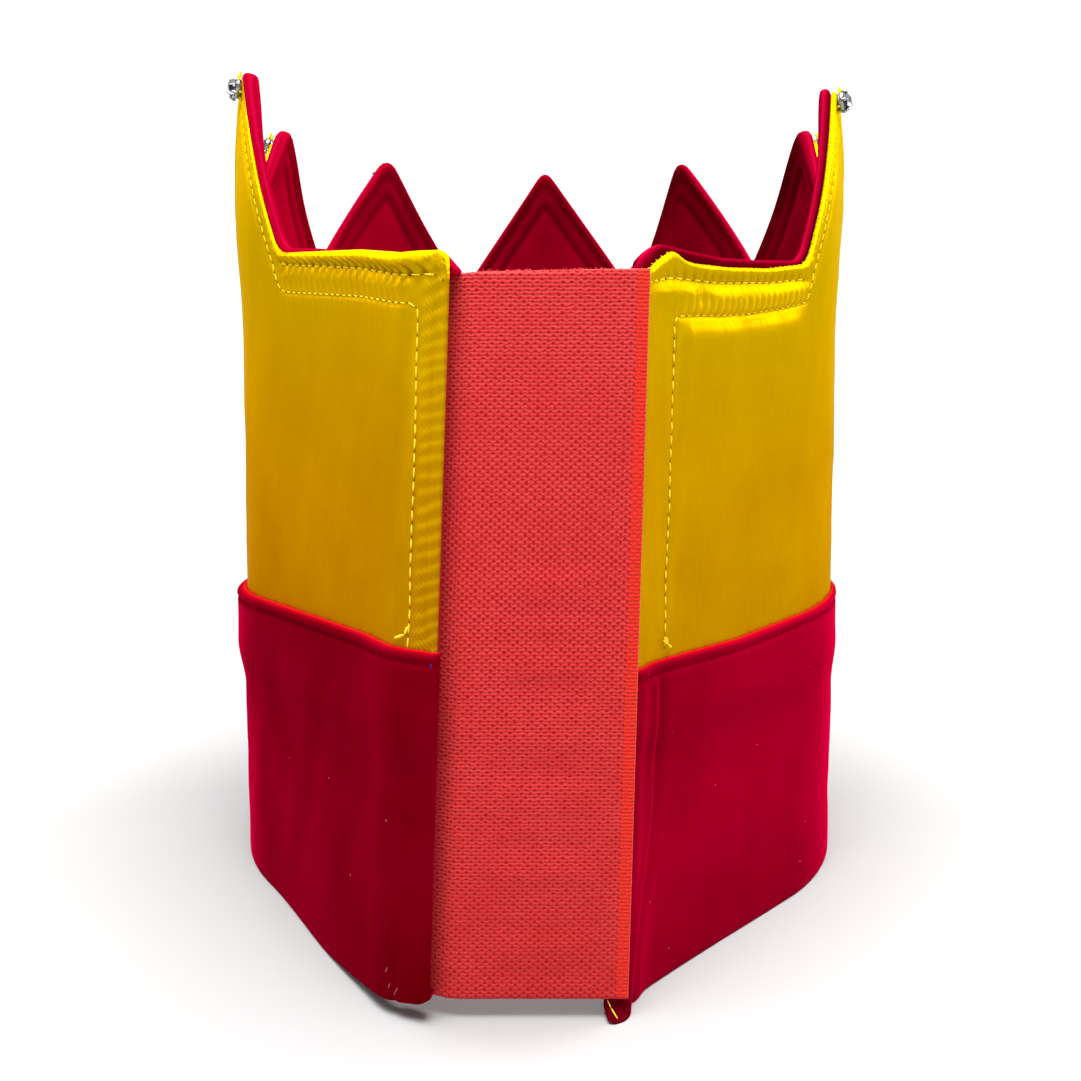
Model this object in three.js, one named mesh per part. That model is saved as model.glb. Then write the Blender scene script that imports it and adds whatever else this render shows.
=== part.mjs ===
// Satin crown: a yellow satin wall with seven points, lined and cuffed with red velvet,
// open at the back, where a wide woven hook tape bridges the two ends of the wall.
// Millimetres, +Z up, +Y is the wearer's front and the closure faces -Y.
import * as THREE from 'three';
import { mergeVertices } from 'three/addons/utils/BufferGeometryUtils.js';

// Plan of the wall's outer satin face. The wall is round at the front and sides, and runs
// straight along two back panels to two short flaps. Angles are from the plane of the closure.
const GIRTH_RADIUS = 88;
const LEFT_PANEL_ANGLE = 57;
const LEFT_PANEL_LENGTH = 75.6;
const LEFT_BEND_RADIUS = 16;
const LEFT_FLAP_ANGLE = 27;
const LEFT_FLAP_LENGTH = 6;
const RIGHT_PANEL_ANGLE = 49;
const RIGHT_PANEL_LENGTH = 60;
const RIGHT_HOLLOW_ANGLE = 17;
const RIGHT_HOLLOW_RADIUS = 27;
const RIGHT_RETURN_LENGTH = 2.6;
const RIGHT_BEND_RADIUS = 4;
const RIGHT_FLAP_LENGTH = 2.2;

// The closure leans: its sides shift along X by this much for each millimetre of height,
// fully behind LEAN_FULL_Y and not at all in front of LEAN_NONE_Y.
const LEAN_LEFT = 0.038;
const LEAN_RIGHT = 0.024;
const LEAN_HALF_WIDTH = 20;
const LEAN_LEVEL = 80;
const LEAN_NONE_Y = -50;
const LEAN_FULL_Y = -100;

// Wall build-up, as offsets from the satin's outer face along the outward normal.
const CLOTH = 1.5;
const GAP = 0.3;
const SATIN_INNER = -CLOTH;
const LINING_OUTER = SATIN_INNER - GAP;
const LINING_INNER = LINING_OUTER - CLOTH;
const EDGE_ROUND = 0.45;

// Rows of the cloth walls: level up to FOOT, then shares of the way from there to the edge.
const FOOT = 150;
const SATIN_LEVELS = [64, FOOT];
const LINING_LEVELS = [2.1, 40, FOOT];
const EDGE_SHARES = [0.25, 0.5, 0.73, 0.94, 1];
const LINING_RISE = 1;
const LINING_SETBACK = 1.2;

// The seven points, whose corners are drawn TIP_DROP above the rounded tops: place of the tip
// round the wall in degrees from the front, its height, how far it leans outwards, and the
// place and height of the notch before the next point.
const POINTS = [
  { angle: -113, top: 219.5, lean: -2, notch: -94, notchTop: 179 },
  { angle: -75, top: 217.5, lean: -0.9, notch: -61, notchTop: 177 },
  { angle: -40, top: 217, lean: -0.5, notch: -19.3, notchTop: 172.6 },
  { angle: 1.5, top: 217, lean: -0.5, notch: 24.5, notchTop: 170.8 },
  { angle: 37, top: 217, lean: -0.5, notch: 59.2, notchTop: 177 },
  { angle: 77, top: 217, lean: 1.5, notch: 94, notchTop: 179 },
  { angle: 112.5, top: 216, lean: -2 },
];
const LEAN_FOOT = 165;
const FLARE = 1.8;
const FLARE_TOP = 190;
const TIP_ROUND = 5.5;
const TIP_DROP = 2.2;
const NOTCH_ROUND = 3.5;

// Top edge of the two back panels: distance from the wall's end, height and corner rounding.
const LEFT_TOP = [
  { fromEnd: 0, z: 156.5, round: 0 },
  { fromEnd: 0.4, z: 160.8, round: 2.4 },
  { fromEnd: 13, z: 161.2, round: 0 },
  { fromEnd: 33, z: 164.2, round: 0 },
  { fromEnd: 76, z: 168.5, round: 5 },
];
const RIGHT_TOP = [
  { fromEnd: 82, z: 166.5, round: 5 },
  { fromEnd: 41, z: 162.8, round: 0 },
  { fromEnd: 15, z: 162.6, round: 2.5 },
  { fromEnd: 6, z: 157.8, round: 0 },
  { fromEnd: 0, z: 157, round: 0 },
];

// Velvet band: height of its top edge round the wall, and the share of its full thickness
// that the rolled edge keeps there. The roll is pressed flat at the ends.
const BAND_TOP = [
  { angle: -182, z: 79.2, stand: 0.5 },
  { angle: -165, z: 80, stand: 0.8 },
  { angle: -145, z: 79.3, stand: 1 },
  { angle: -100, z: 77.6, stand: 1.25 },
  { angle: 0, z: 78, stand: 1 },
  { angle: 100, z: 78, stand: 0.6 },
  { angle: 150, z: 74, stand: 0.7 },
  { angle: 175, z: 74.3, stand: 0.5 },
  { angle: 182, z: 74.5, stand: 0.5 },
];
const BAND_TOP_NOMINAL = 78;
const BAND_THICKNESS = 2;
const BAND_REACH = 0.9;
const BAND_FLARE_START = 50;
const BAND_FLARE_END = 62.5;
const ROLL_HEIGHT = 3;
const ROLL_SWELL = 0.6;
const ROLL_ROUND = 0.7;
const HEM_THICKNESS = 1.8;
const HEM_ROUND = 0.6;

// The hem is eased up towards the left end, and turned out under the right flap.
const HEM_LIFT = 4.2;
const HEM_LIFT_SPAN = 46;
const HEM_LIFT_POWER = 1.3;
const HEM_LIFT_HEIGHT = 40;
const TURN_OUT = 5;
const TURN_HEIGHT = 3.5;
const TURN_NONE = 5.8;
const TURN_FULL = 3.4;

// Hook tape: plan of its outer face from the selvedge to the edge inside the left flap.
const TAPE_PLAN = [
  { x: 20.7, y: -117.7, top: 157.3 },
  { x: 12, y: -117.7, top: 157.2 },
  { x: -13.5, y: -117.7, top: 156.7 },
  { x: -16.4, y: -117.5, top: 156.6 },
  { x: -19.2, y: -116.2, top: 156.5 },
  { x: -26.3, y: -112.6, top: 156.5 },
];
const TAPE_THICKNESS = 1.2;
const TAPE_BOTTOM = 4.3;

// Stone in its cup, as a turned profile of radius and height above the cup's back.
const JEWEL_SIDES = 10;
const JEWEL_BELOW_TIP = 3.4;
const JEWEL_PROFILE = [
  { radius: 0, height: 0 },
  { radius: 2.5, height: 0 },
  { radius: 3, height: 0.6 },
  { radius: 3, height: 1.7 },
  { radius: 2.7, height: 2 },
  { radius: 1.5, height: 3.8 },
  { radius: 0, height: 3.8 },
];

// Faceting of the bent walls.
const MAX_COLUMN = 9.5;
const MIN_COLUMN = 1.2;
const ROUND_STEPS = 4;
const BEND_STEPS = 4;

const FINISHES = {
  satin: { color: 0xd9a800, roughness: 0.38, metalness: 0 },
  velvet: { color: 0x8c0018, roughness: 0.85, metalness: 0 },
  tape: { color: 0xe0403f, roughness: 0.7, metalness: 0 },
  silver: { color: 0xc4c6ca, roughness: 0.12, metalness: 1 },
};

const { degToRad, radToDeg, lerp, clamp, smoothstep } = THREE.MathUtils;

// The plan as legs walked clockwise from the left end: each has a length and a turn.
const straight = (length) => ({ length, turn: 0 });
const bend = (radius, turn) => ({ length: radius * degToRad(Math.abs(turn)), turn });
const legs = [
  straight(LEFT_FLAP_LENGTH),
  bend(LEFT_BEND_RADIUS, LEFT_PANEL_ANGLE - LEFT_FLAP_ANGLE),
  straight(LEFT_PANEL_LENGTH),
  bend(GIRTH_RADIUS, 180 - LEFT_PANEL_ANGLE),
  bend(GIRTH_RADIUS, 180 - RIGHT_PANEL_ANGLE),
  straight(RIGHT_PANEL_LENGTH),
  bend(RIGHT_HOLLOW_RADIUS, -RIGHT_HOLLOW_ANGLE),
  straight(RIGHT_RETURN_LENGTH),
  bend(RIGHT_BEND_RADIUS, RIGHT_PANEL_ANGLE + RIGHT_HOLLOW_ANGLE),
  straight(RIGHT_FLAP_LENGTH),
];
const FRONT_LEG = 4;
const START_HEADING = 180 - LEFT_FLAP_ANGLE;

// Place and heading after walking some length of a leg. Positive turns are clockwise.
function walk(from, leg, length) {
  const turn = degToRad(leg.turn) * (length / leg.length);
  const chord = leg.turn === 0 ? length : 2 * (leg.length / degToRad(leg.turn)) * Math.sin(turn / 2);
  const heading = degToRad(from.heading) - turn / 2;
  return {
    x: from.x + chord * Math.cos(heading),
    y: from.y + chord * Math.sin(heading),
    heading: from.heading - radToDeg(turn),
  };
}

// Walk all the legs once, then shift them so that the front lies at (0, GIRTH_RADIUS) and
// stations are arc lengths from the front. Returns the stations of the two ends.
function layOutPlan() {
  let place = { x: 0, y: 0, heading: START_HEADING };
  let station = 0;
  for (const leg of legs) {
    leg.start = place;
    leg.station = station;
    place = walk(place, leg, leg.length);
    station += leg.length;
  }
  const front = { ...legs[FRONT_LEG].start, station: legs[FRONT_LEG].station };
  for (const leg of legs) {
    leg.start = { ...leg.start, x: leg.start.x - front.x, y: leg.start.y - front.y + GIRTH_RADIUS };
    leg.station -= front.station;
  }
  return { left: -front.station, right: station - front.station };
}
const ends = layOutPlan();

// Place and outward normal on the satin's outer face at a station.
function planAt(station) {
  const leg = legs.find((each) => station <= each.station + each.length) ?? legs.at(-1);
  const { x, y, heading } = walk(leg.start, leg, station - leg.station);
  return { x, y, nx: -Math.sin(degToRad(heading)), ny: Math.cos(degToRad(heading)) };
}

// Straight-line reading of a table's column at a place in another column.
function readTable(rows, along, column, at) {
  const next = rows.findIndex((row) => row[along] > at);
  if (next === 0) return rows[0][column];
  if (next === -1) return rows.at(-1)[column];
  const [a, b] = [rows[next - 1], rows[next]];
  return lerp(a[column], b[column], (at - a[along]) / (b[along] - a[along]));
}

const stationOf = (angle) => GIRTH_RADIUS * degToRad(angle);
const tips = POINTS.map((point) => ({ ...point, station: stationOf(point.angle) }));

// Outward lean of the upper wall: a slight flare all round, and each point's own lean,
// which is none at its foot and full at its tip.
function tipLean(station, z) {
  const rise = Math.max(0, z - LEAN_FOOT) / (tips[0].top - LEAN_FOOT);
  const flare = FLARE * smoothstep(z, FOOT, FLARE_TOP);
  return flare + readTable(tips, 'station', 'lean', station) * rise * rise;
}

// Sideways shift of the leaning closure.
function closureLean(x, y, z) {
  const weight = smoothstep(-y, -LEAN_NONE_Y, -LEAN_FULL_Y);
  const side = clamp(x / LEAN_HALF_WIDTH, -1, 1);
  return weight * lerp(LEAN_LEFT, LEAN_RIGHT, (side + 1) / 2) * (z - LEAN_LEVEL);
}

// Sharp corners of the top edge. A tip's corner stands above its rounded top.
function topCorners() {
  const corners = LEFT_TOP.map(({ fromEnd, z, round }) => ({ s: ends.left + fromEnd, z, round }));
  for (const tip of tips) {
    corners.push({ s: tip.station, z: tip.top + TIP_DROP, round: TIP_ROUND });
    if ('notch' in tip) {
      corners.push({ s: stationOf(tip.notch), z: tip.notchTop, round: NOTCH_ROUND });
    }
  }
  const right = RIGHT_TOP.map(({ fromEnd, z, round }) => ({ s: ends.right - fromEnd, z, round }));
  return [...corners, ...right];
}

// The top edge with its corners rounded by short curves that leave each side at `round`.
function roundedEdge(corners) {
  const spots = corners.map(({ s, z }) => new THREE.Vector2(s, z));
  const towards = (from, to, length) => to.clone().sub(from).setLength(length).add(from);
  const points = corners.flatMap(({ round }, i) => {
    if (round === 0) return [spots[i]];
    const before = towards(spots[i], spots[i - 1], round);
    const after = towards(spots[i], spots[i + 1], round);
    return new THREE.QuadraticBezierCurve(before, spots[i], after).getPoints(ROUND_STEPS);
  });
  return points.map(({ x, y }) => ({ s: x, z: y }));
}
const topEdge = roundedEdge(topCorners());

// Stations where the plan changes, with each short bend in steps.
function bendStations() {
  return legs.flatMap((leg) => {
    const steps = leg.turn === 0 || leg.length > GIRTH_RADIUS ? 1 : BEND_STEPS;
    return Array.from({ length: steps + 1 }, (_, k) => leg.station + (leg.length * k) / steps);
  });
}

// Columns of a wall: all of the main stations, the others where they lie clear of those,
// and more where two columns would be too far apart.
function columnsFrom(main, others) {
  const clear = others.filter((s) => main.every((kept) => Math.abs(kept - s) > MIN_COLUMN));
  const sorted = [...main, ...clear].sort((a, b) => a - b);
  return sorted.flatMap((s, i) => {
    if (i === 0) return [s];
    const pieces = Math.ceil((s - sorted[i - 1]) / MAX_COLUMN);
    return Array.from({ length: pieces }, (_, k) => lerp(sorted[i - 1], s, (k + 1) / pieces));
  });
}
const bends = bendStations();
const edgeColumns = columnsFrom(topEdge.map(({ s }) => s), bends);
const liningColumns = edgeColumns
  .map((s) => clamp(s, ends.left + LINING_SETBACK, ends.right - LINING_SETBACK))
  .filter((s, i, all) => s !== all[i - 1]);
const bandColumns = columnsFrom([ends.left - BAND_REACH, ends.right], bends);

// A strip of material: a closed section of [across, up] points, run along its columns
// and set in place one point at a time. `place` returns the point's x, y and z.
function strip(section, columns, place) {
  const steps = columns.length - 1;
  const shape = new THREE.Shape(section.map(([across, up]) => new THREE.Vector2(across, up)));
  const solid = new THREE.ExtrudeGeometry(shape, { depth: steps, steps, bevelEnabled: false });
  const position = solid.getAttribute('position');
  for (let i = 0; i < position.count; i += 1) {
    const column = columns[Math.round(position.getZ(i))];
    position.setXYZ(i, ...place(column, position.getX(i), position.getY(i)));
  }
  solid.deleteAttribute('normal');
  solid.deleteAttribute('uv');
  const merged = mergeVertices(solid);
  merged.computeVertexNormals();
  return merged;
}

// A point of the wall from its station, its offset from the satin's face and its height.
function wallPoint(station, offset, z) {
  const plan = planAt(station);
  const reach = offset + tipLean(station, z);
  const x = plan.x + plan.nx * reach;
  const y = plan.y + plan.ny * reach;
  return [x + closureLean(x, y, z), y, z];
}

// Height after the hem's easing at the left end.
function easedHeight(station, z) {
  const near = clamp(1 - (station - ends.left) / HEM_LIFT_SPAN, 0, 1);
  return z + HEM_LIFT * near ** HEM_LIFT_POWER * clamp(1 - z / HEM_LIFT_HEIGHT, 0, 1);
}

// Outward reach of the hem below the right flap.
function hemTurn(station, z) {
  const near = 1 - smoothstep(ends.right - station, TURN_FULL, TURN_NONE);
  return TURN_OUT * near * clamp(1 - z / TURN_HEIGHT, 0, 1);
}

// Section of a cloth wall. Rows above FOOT are drawn as FOOT plus a share of the rise.
function clothSection(inner, outer, levels) {
  const rows = [...levels, ...EDGE_SHARES.map((share) => FOOT + share)];
  const outerSide = rows.map((row) => [row === FOOT + 1 ? outer - EDGE_ROUND : outer, row]);
  const innerSide = rows.map((row) => [row === FOOT + 1 ? inner + EDGE_ROUND : inner, row]);
  return [...outerSide, ...innerSide.reverse()];
}

function clothWall(section, columns, rise) {
  return strip(section, columns, (station, offset, row) => {
    const top = readTable(topEdge, 's', 'z', station) + rise;
    const z = row <= FOOT ? easedHeight(station, row) : lerp(FOOT, top, row - FOOT);
    return wallPoint(station, offset, z);
  });
}

// The band: a hem turned in under the lining, a wall, and a rolled edge over the satin.
function velvetBand() {
  const outer = SATIN_INNER + BAND_THICKNESS;
  const rollOuter = GAP + BAND_THICKNESS;
  const top = BAND_TOP_NOMINAL;
  const section = [
    [outer - HEM_ROUND, 0],
    [outer, HEM_ROUND],
    [outer, TURN_HEIGHT],
    [outer, BAND_FLARE_START],
    [rollOuter, BAND_FLARE_END],
    [rollOuter, top - 2 * ROLL_HEIGHT],
    [rollOuter + ROLL_SWELL, top - ROLL_HEIGHT],
    [rollOuter + ROLL_SWELL, top - ROLL_ROUND],
    [rollOuter - ROLL_ROUND, top],
    [GAP + ROLL_ROUND, top],
    [GAP, top - ROLL_ROUND],
    [GAP, BAND_FLARE_END],
    [SATIN_INNER, BAND_FLARE_START],
    [SATIN_INNER, TURN_HEIGHT],
    [SATIN_INNER, HEM_THICKNESS],
    [LINING_INNER, HEM_THICKNESS],
    [LINING_INNER, HEM_ROUND],
    [LINING_INNER + HEM_ROUND, 0],
  ];
  return strip(section, bandColumns, (station, across, row) => {
    if (row < BAND_FLARE_END) {
      return wallPoint(station, across + hemTurn(station, row), easedHeight(station, row));
    }
    const angle = radToDeg(station / GIRTH_RADIUS);
    const edge = readTable(BAND_TOP, 'angle', 'z', angle);
    const share = (row - BAND_FLARE_END) / (top - BAND_FLARE_END);
    const offset = GAP + (across - GAP) * readTable(BAND_TOP, 'angle', 'stand', angle);
    return wallPoint(station, offset, lerp(BAND_FLARE_END, edge, share));
  });
}

// The tape, flat between its seats inside the left flap and outside the right one.
function hookTape() {
  const section = [
    [0, 0],
    [0, 1],
    [-TAPE_THICKNESS, 1],
    [-TAPE_THICKNESS, 0],
  ];
  const last = TAPE_PLAN.length - 1;
  const columns = TAPE_PLAN.map((_, i) => i);
  return strip(section, columns, (i, across, up) => {
    const before = TAPE_PLAN[Math.max(i - 1, 0)];
    const after = TAPE_PLAN[Math.min(i + 1, last)];
    const along = new THREE.Vector2(after.x - before.x, after.y - before.y).normalize();
    const x = TAPE_PLAN[i].x - along.y * across;
    const y = TAPE_PLAN[i].y + along.x * across;
    const z = lerp(TAPE_BOTTOM, TAPE_PLAN[i].top, up);
    return [x + closureLean(x, y, z), y, z];
  });
}

function part(name, geometry, finish) {
  const mesh = new THREE.Mesh(geometry, new THREE.MeshStandardMaterial(finish));
  mesh.name = name;
  return mesh;
}

// One stone, set on the satin's outer face just below a tip and square to it.
function jewel(tip, number) {
  const profile = JEWEL_PROFILE.map(({ radius, height }) => new THREE.Vector2(radius, height));
  const stone = part(`jewel_${number}`, new THREE.LatheGeometry(profile, JEWEL_SIDES), FINISHES.silver);
  const height = tip.top - JEWEL_BELOW_TIP;
  const seat = new THREE.Vector3(...wallPoint(tip.station, 0, height));
  const above = new THREE.Vector3(...wallPoint(tip.station, 0, height + 1));
  const { nx, ny } = planAt(tip.station);
  const along = new THREE.Vector3(ny, -nx, 0);
  const outward = along.clone().cross(above.sub(seat)).negate().normalize();
  stone.position.copy(seat).addScaledVector(outward, GAP);
  stone.quaternion.setFromUnitVectors(new THREE.Vector3(0, 1, 0), outward);
  return stone;
}

const satinSection = clothSection(SATIN_INNER, 0, SATIN_LEVELS);
const liningSection = clothSection(LINING_INNER, LINING_OUTER, LINING_LEVELS);

const crown = new THREE.Group();
crown.add(
  part('satin_shell', clothWall(satinSection, edgeColumns, 0), FINISHES.satin),
  part('velvet_lining', clothWall(liningSection, liningColumns, LINING_RISE), FINISHES.velvet),
  part('velvet_band', velvetBand(), FINISHES.velvet),
  part('hook_tape', hookTape(), FINISHES.tape),
  ...tips.map((tip, i) => jewel(tip, i + 1)),
);

// Origin at the middle of the crown's footprint, on the surface that it stands on.
const box = new THREE.Box3().setFromObject(crown);
const middle = box.getCenter(new THREE.Vector3());
crown.position.set(-middle.x, -middle.y, -box.min.z);

export default crown;
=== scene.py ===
"""Satin crown seen from its closure: satin wall, velvet lining and band, hook tape and stones."""

import logging
import math
from collections.abc import Callable, Sequence
from dataclasses import dataclass
from enum import Enum

import bmesh
import bpy
import numpy as np
from mathutils import Matrix, Vector


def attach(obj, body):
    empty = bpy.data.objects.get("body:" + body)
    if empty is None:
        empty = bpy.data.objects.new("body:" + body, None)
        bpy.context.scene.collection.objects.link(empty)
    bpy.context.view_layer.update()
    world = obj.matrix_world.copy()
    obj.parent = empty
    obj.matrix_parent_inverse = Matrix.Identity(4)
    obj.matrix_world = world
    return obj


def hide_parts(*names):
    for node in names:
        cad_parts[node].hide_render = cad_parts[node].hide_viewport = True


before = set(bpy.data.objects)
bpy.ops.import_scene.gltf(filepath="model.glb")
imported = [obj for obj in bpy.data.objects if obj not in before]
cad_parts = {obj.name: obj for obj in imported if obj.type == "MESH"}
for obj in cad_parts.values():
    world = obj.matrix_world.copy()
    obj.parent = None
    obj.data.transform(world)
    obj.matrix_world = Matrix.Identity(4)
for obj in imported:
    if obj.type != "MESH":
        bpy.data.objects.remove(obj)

LOG = logging.getLogger("crown")
Array = np.ndarray
Piece = bpy.types.Object
Material = bpy.types.Material
Socket = bpy.types.NodeSocket
Colour = tuple[float, float, float]
Span = tuple[float, float]
Table = tuple[Span, ...]
Place = tuple[float, float, float]
MM = 0.001
KEPT = ("station", "height", "depth", "pucker")
WELD = 1e-7
NOISE_MIDDLE = 0.5
COARSE = 1.0
MIDDLING = 2.0
FINE = 3.0
WHITE = (1.0, 1.0, 1.0, 1.0)
MIX_COLOURS = slice(6, 8)
MIX_RESULT = 2
WAVES = ((1.0, 1.0, 1.0, 0.0), (0.6, 1.73, 2.1, 1.3), (0.4, 3.11, 0.7, 4.2), (0.25, 5.3, 1.0, 0.0))
SATIN_TIPS = (219.5, 215.7, 215.2, 215.2, 215.2, 215.7, 216)
SATIN_NOTCHES = ((-94, 179), (-61, 175.4), (-19.3, 171), (24.5, 169.2), (59.2, 175.4), (94, 179))
SATIN_RIGHT_TOP = (
    (82, 166.5, 5), (60, 163.2, 0), (41, 161.6, 0), (26, 161.0, 0), (21.5, 161.3, 1.5),
    (17, 162.9, 1.2), (6, 157.7, 0), (0, 157, 0),
)


class Side(Enum):
    """The two ends of the wall, as seen from behind."""

    LEFT = -1
    RIGHT = 1


def smoothstep(value: Array, low: float, high: float) -> Array:
    """Eases from 0 at low to 1 at high."""
    share = np.clip((value - low) / (high - low), 0, 1)
    return share * share * (3 - 2 * share)


def waver(value: Array, phase: float) -> Array:
    """A wandering wave between about -1 and 1, with no repeat that shows."""
    waves = [high * np.sin(value * pace + turn * phase + start) for high, pace, turn, start in WAVES]
    return sum(waves) / sum(high for high, *_ in WAVES)


def eased_table(value: Array, table: Table) -> Array:
    """Reads a table along a smooth curve through its points.

    Args:
        value: where the curve is read.
        table: places in rising order, and the heights there.

    Returns:
        The curve's heights.
    """
    places, heights = np.array(table, dtype=float).T
    slopes = np.zeros(len(places))
    slopes[1:-1] = (heights[2:] - heights[:-2]) / (places[2:] - places[:-2])
    before = np.clip(np.searchsorted(places, value) - 1, 0, len(places) - 2)
    after = before + 1
    span = places[after] - places[before]
    t = np.clip((value - places[before]) / span, 0, 1)
    rise = heights[after] - heights[before]
    leaving = t * (1 - t) ** 2 * slopes[before] * span
    arriving = t * t * (1 - t) * slopes[after] * span
    return heights[before] + rise * t * t * (3 - 2 * t) + leaving - arriving


def running_length(x: Array, y: Array) -> Array:
    """Length from the first point of a line to each of its points."""
    return np.concatenate([[0.0], np.cumsum(np.hypot(np.diff(x), np.diff(y)))])


def rounded_share(near: Array, radius: float) -> Array:
    """Share of a thickness that is left near an edge that is rounded over a radius."""
    inside = np.clip(near / radius, 0, 1)
    return np.sqrt(np.clip(1 - (1 - inside) ** 2, 0, 1))


@dataclass(frozen=True)
class Bell:
    """A rounded ridge, or a hollow where its height is below 0."""

    height: float
    middle: float
    width: float

    def at(self, value: Array) -> Array:
        """The bell's heights over a value."""
        return self.height * np.exp(-(((value - self.middle) / self.width) ** 2))


@dataclass(frozen=True)
class Sway:
    """A slow wave: its height, its paces along and up the wall, and its start."""

    height: float
    along: float
    up: float = 0.0
    start: float = 0.0

    def at(self, station: Array, z: Array | float = 0.0) -> Array:
        """The wave's heights at stations and heights of the wall."""
        return self.height * waver(station * self.along + z * self.up, self.start)


@dataclass
class CrownPlan:
    """Plan and lean of the wall in millimetres. Stations are lengths along it from the front."""

    girth_radius: float = 88.0
    left_panel_angle: float = 57.0
    left_panel_length: float = 75.6
    left_bend_radius: float = 16.0
    left_flap_angle: float = 27.0
    left_flap_length: float = 6.0
    right_panel_angle: float = 49.0
    right_panel_length: float = 60.0
    right_hollow_angle: float = 17.0
    right_hollow_radius: float = 27.0
    right_return_length: float = 2.6
    right_bend_radius: float = 4.0
    right_flap_length: float = 2.2
    closure_lean: Span = (0.038, 0.024)
    lean_half_width: float = 20.0
    lean_level: float = 80.0
    lean_none_y: float = 50.0
    lean_full_y: float = 100.0
    foot: float = 150.0
    flare: float = 1.8
    flare_top: float = 190.0
    lean_foot: float = 165.0
    lean_top: float = 219.5
    tip_angles: tuple[float, ...] = (-113, -75, -40, 1.5, 37, 77, 112.5)
    tip_leans: tuple[float, ...] = (-2, -0.9, -0.5, -0.5, -0.5, 1.5, -2)
    origin: Span = (0.9932, -13.9188)
    front_leg: int = 4

    def __post_init__(self) -> None:
        """Walks the plan once from the left end and sets the front at (0, girth_radius)."""
        arc = self.girth_radius
        straight_and_bends = [
            (self.left_flap_length, 0.0),
            self._bend(self.left_bend_radius, self.left_panel_angle - self.left_flap_angle),
            (self.left_panel_length, 0.0),
            self._bend(arc, 180 - self.left_panel_angle),
            self._bend(arc, 180 - self.right_panel_angle),
            (self.right_panel_length, 0.0),
            self._bend(self.right_hollow_radius, -self.right_hollow_angle),
            (self.right_return_length, 0.0),
            self._bend(self.right_bend_radius, self.right_panel_angle + self.right_hollow_angle),
            (self.right_flap_length, 0.0),
        ]
        count = len(straight_and_bends)
        self.leg_length = np.array([length for length, _ in straight_and_bends])
        self.leg_turn = np.array([turn for _, turn in straight_and_bends])
        self.leg_x = np.zeros(count)
        self.leg_y = np.zeros(count)
        self.leg_heading = np.full(count, math.radians(180 - self.left_flap_angle))
        for leg in range(count - 1):
            x, y, heading = self._walk(leg, self.leg_length[leg])
            self.leg_x[leg + 1], self.leg_y[leg + 1], self.leg_heading[leg + 1] = x, y, heading
        self.leg_station = np.concatenate([[0.0], np.cumsum(self.leg_length)[:-1]])
        front = self.leg_station[self.front_leg]
        self.leg_station -= front
        self.leg_x -= self.leg_x[self.front_leg]
        self.leg_y += self.girth_radius - self.leg_y[self.front_leg]
        self.left = -front
        self.right = float(self.leg_length.sum()) - front

    @staticmethod
    def _bend(radius: float, degrees: float) -> Span:
        """Length and clockwise turn, in radians, of a bend."""
        return radius * math.radians(abs(degrees)), math.radians(degrees)

    def _walk(self, leg: Array | int, length: Array | float) -> tuple[Array, Array, Array]:
        """Place and heading after some length of a leg.

        Args:
            leg: which leg, one or many.
            length: how far along it.

        Returns:
            x, y and the heading there in radians.
        """
        turn = self.leg_turn[leg] * length / self.leg_length[leg]
        chord = length * np.sinc(turn / math.tau)
        along = self.leg_heading[leg] - turn / 2
        x = self.leg_x[leg] + chord * np.cos(along)
        y = self.leg_y[leg] + chord * np.sin(along)
        return x, y, self.leg_heading[leg] - turn

    def station_of(self, angle: Array | float) -> Array | float:
        """Station of an angle in degrees from the front, on the round part."""
        return self.girth_radius * np.radians(angle)

    def lean(self, station: Array, z: Array) -> Array:
        """How far the upper wall stands outside its plan.

        Args:
            station: stations of the points.
            z: their heights.

        Returns:
            The distances in millimetres.
        """
        rise = np.maximum(0, z - self.lean_foot) / (self.lean_top - self.lean_foot)
        stations = self.station_of(np.array(self.tip_angles))
        own = np.interp(station, stations, self.tip_leans)
        return self.flare * smoothstep(z, self.foot, self.flare_top) + own * rise * rise

    def shift(self, x: Array, y: Array, z: Array) -> Array:
        """Sideways shift of the leaning closure.

        Args:
            x: places of the points across the crown.
            y: their places from back to front.
            z: their heights.

        Returns:
            How far each point moves across, in millimetres.
        """
        weight = smoothstep(-y, self.lean_none_y, self.lean_full_y)
        side = np.clip(x / self.lean_half_width, -1, 1)
        slope = np.interp(side, (-1, 1), self.closure_lean)
        return weight * slope * (z - self.lean_level)

    def settle(self, x: Array, y: Array, z: Array) -> Array:
        """Points of the plan in the crown's frame, in metres, with the closure's lean."""
        moved = x + self.shift(x, y, z)
        return np.stack([moved - self.origin[0], y - self.origin[1], z], axis=-1) * MM

    def place(self, station: Array, offset: Array, z: Array) -> Array:
        """Points of the wall in the crown's frame.

        Args:
            station: length along the wall from the front, in millimetres.
            offset: distance outside the satin's outer face.
            z: height above the table.

        Returns:
            One row of x, y and z in metres for each point.
        """
        leg = np.clip(np.searchsorted(self.leg_station, station, side="right") - 1, 0, None)
        x, y, heading = self._walk(leg, station - self.leg_station[leg])
        reach = offset + self.lean(station, z)
        return self.settle(x - np.sin(heading) * reach, y + np.cos(heading) * reach, z)

    def from_end(self, side: Side, length: float) -> float:
        """Station at a length from one end of the wall."""
        return self.left + length if side is Side.LEFT else self.right - length


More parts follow.
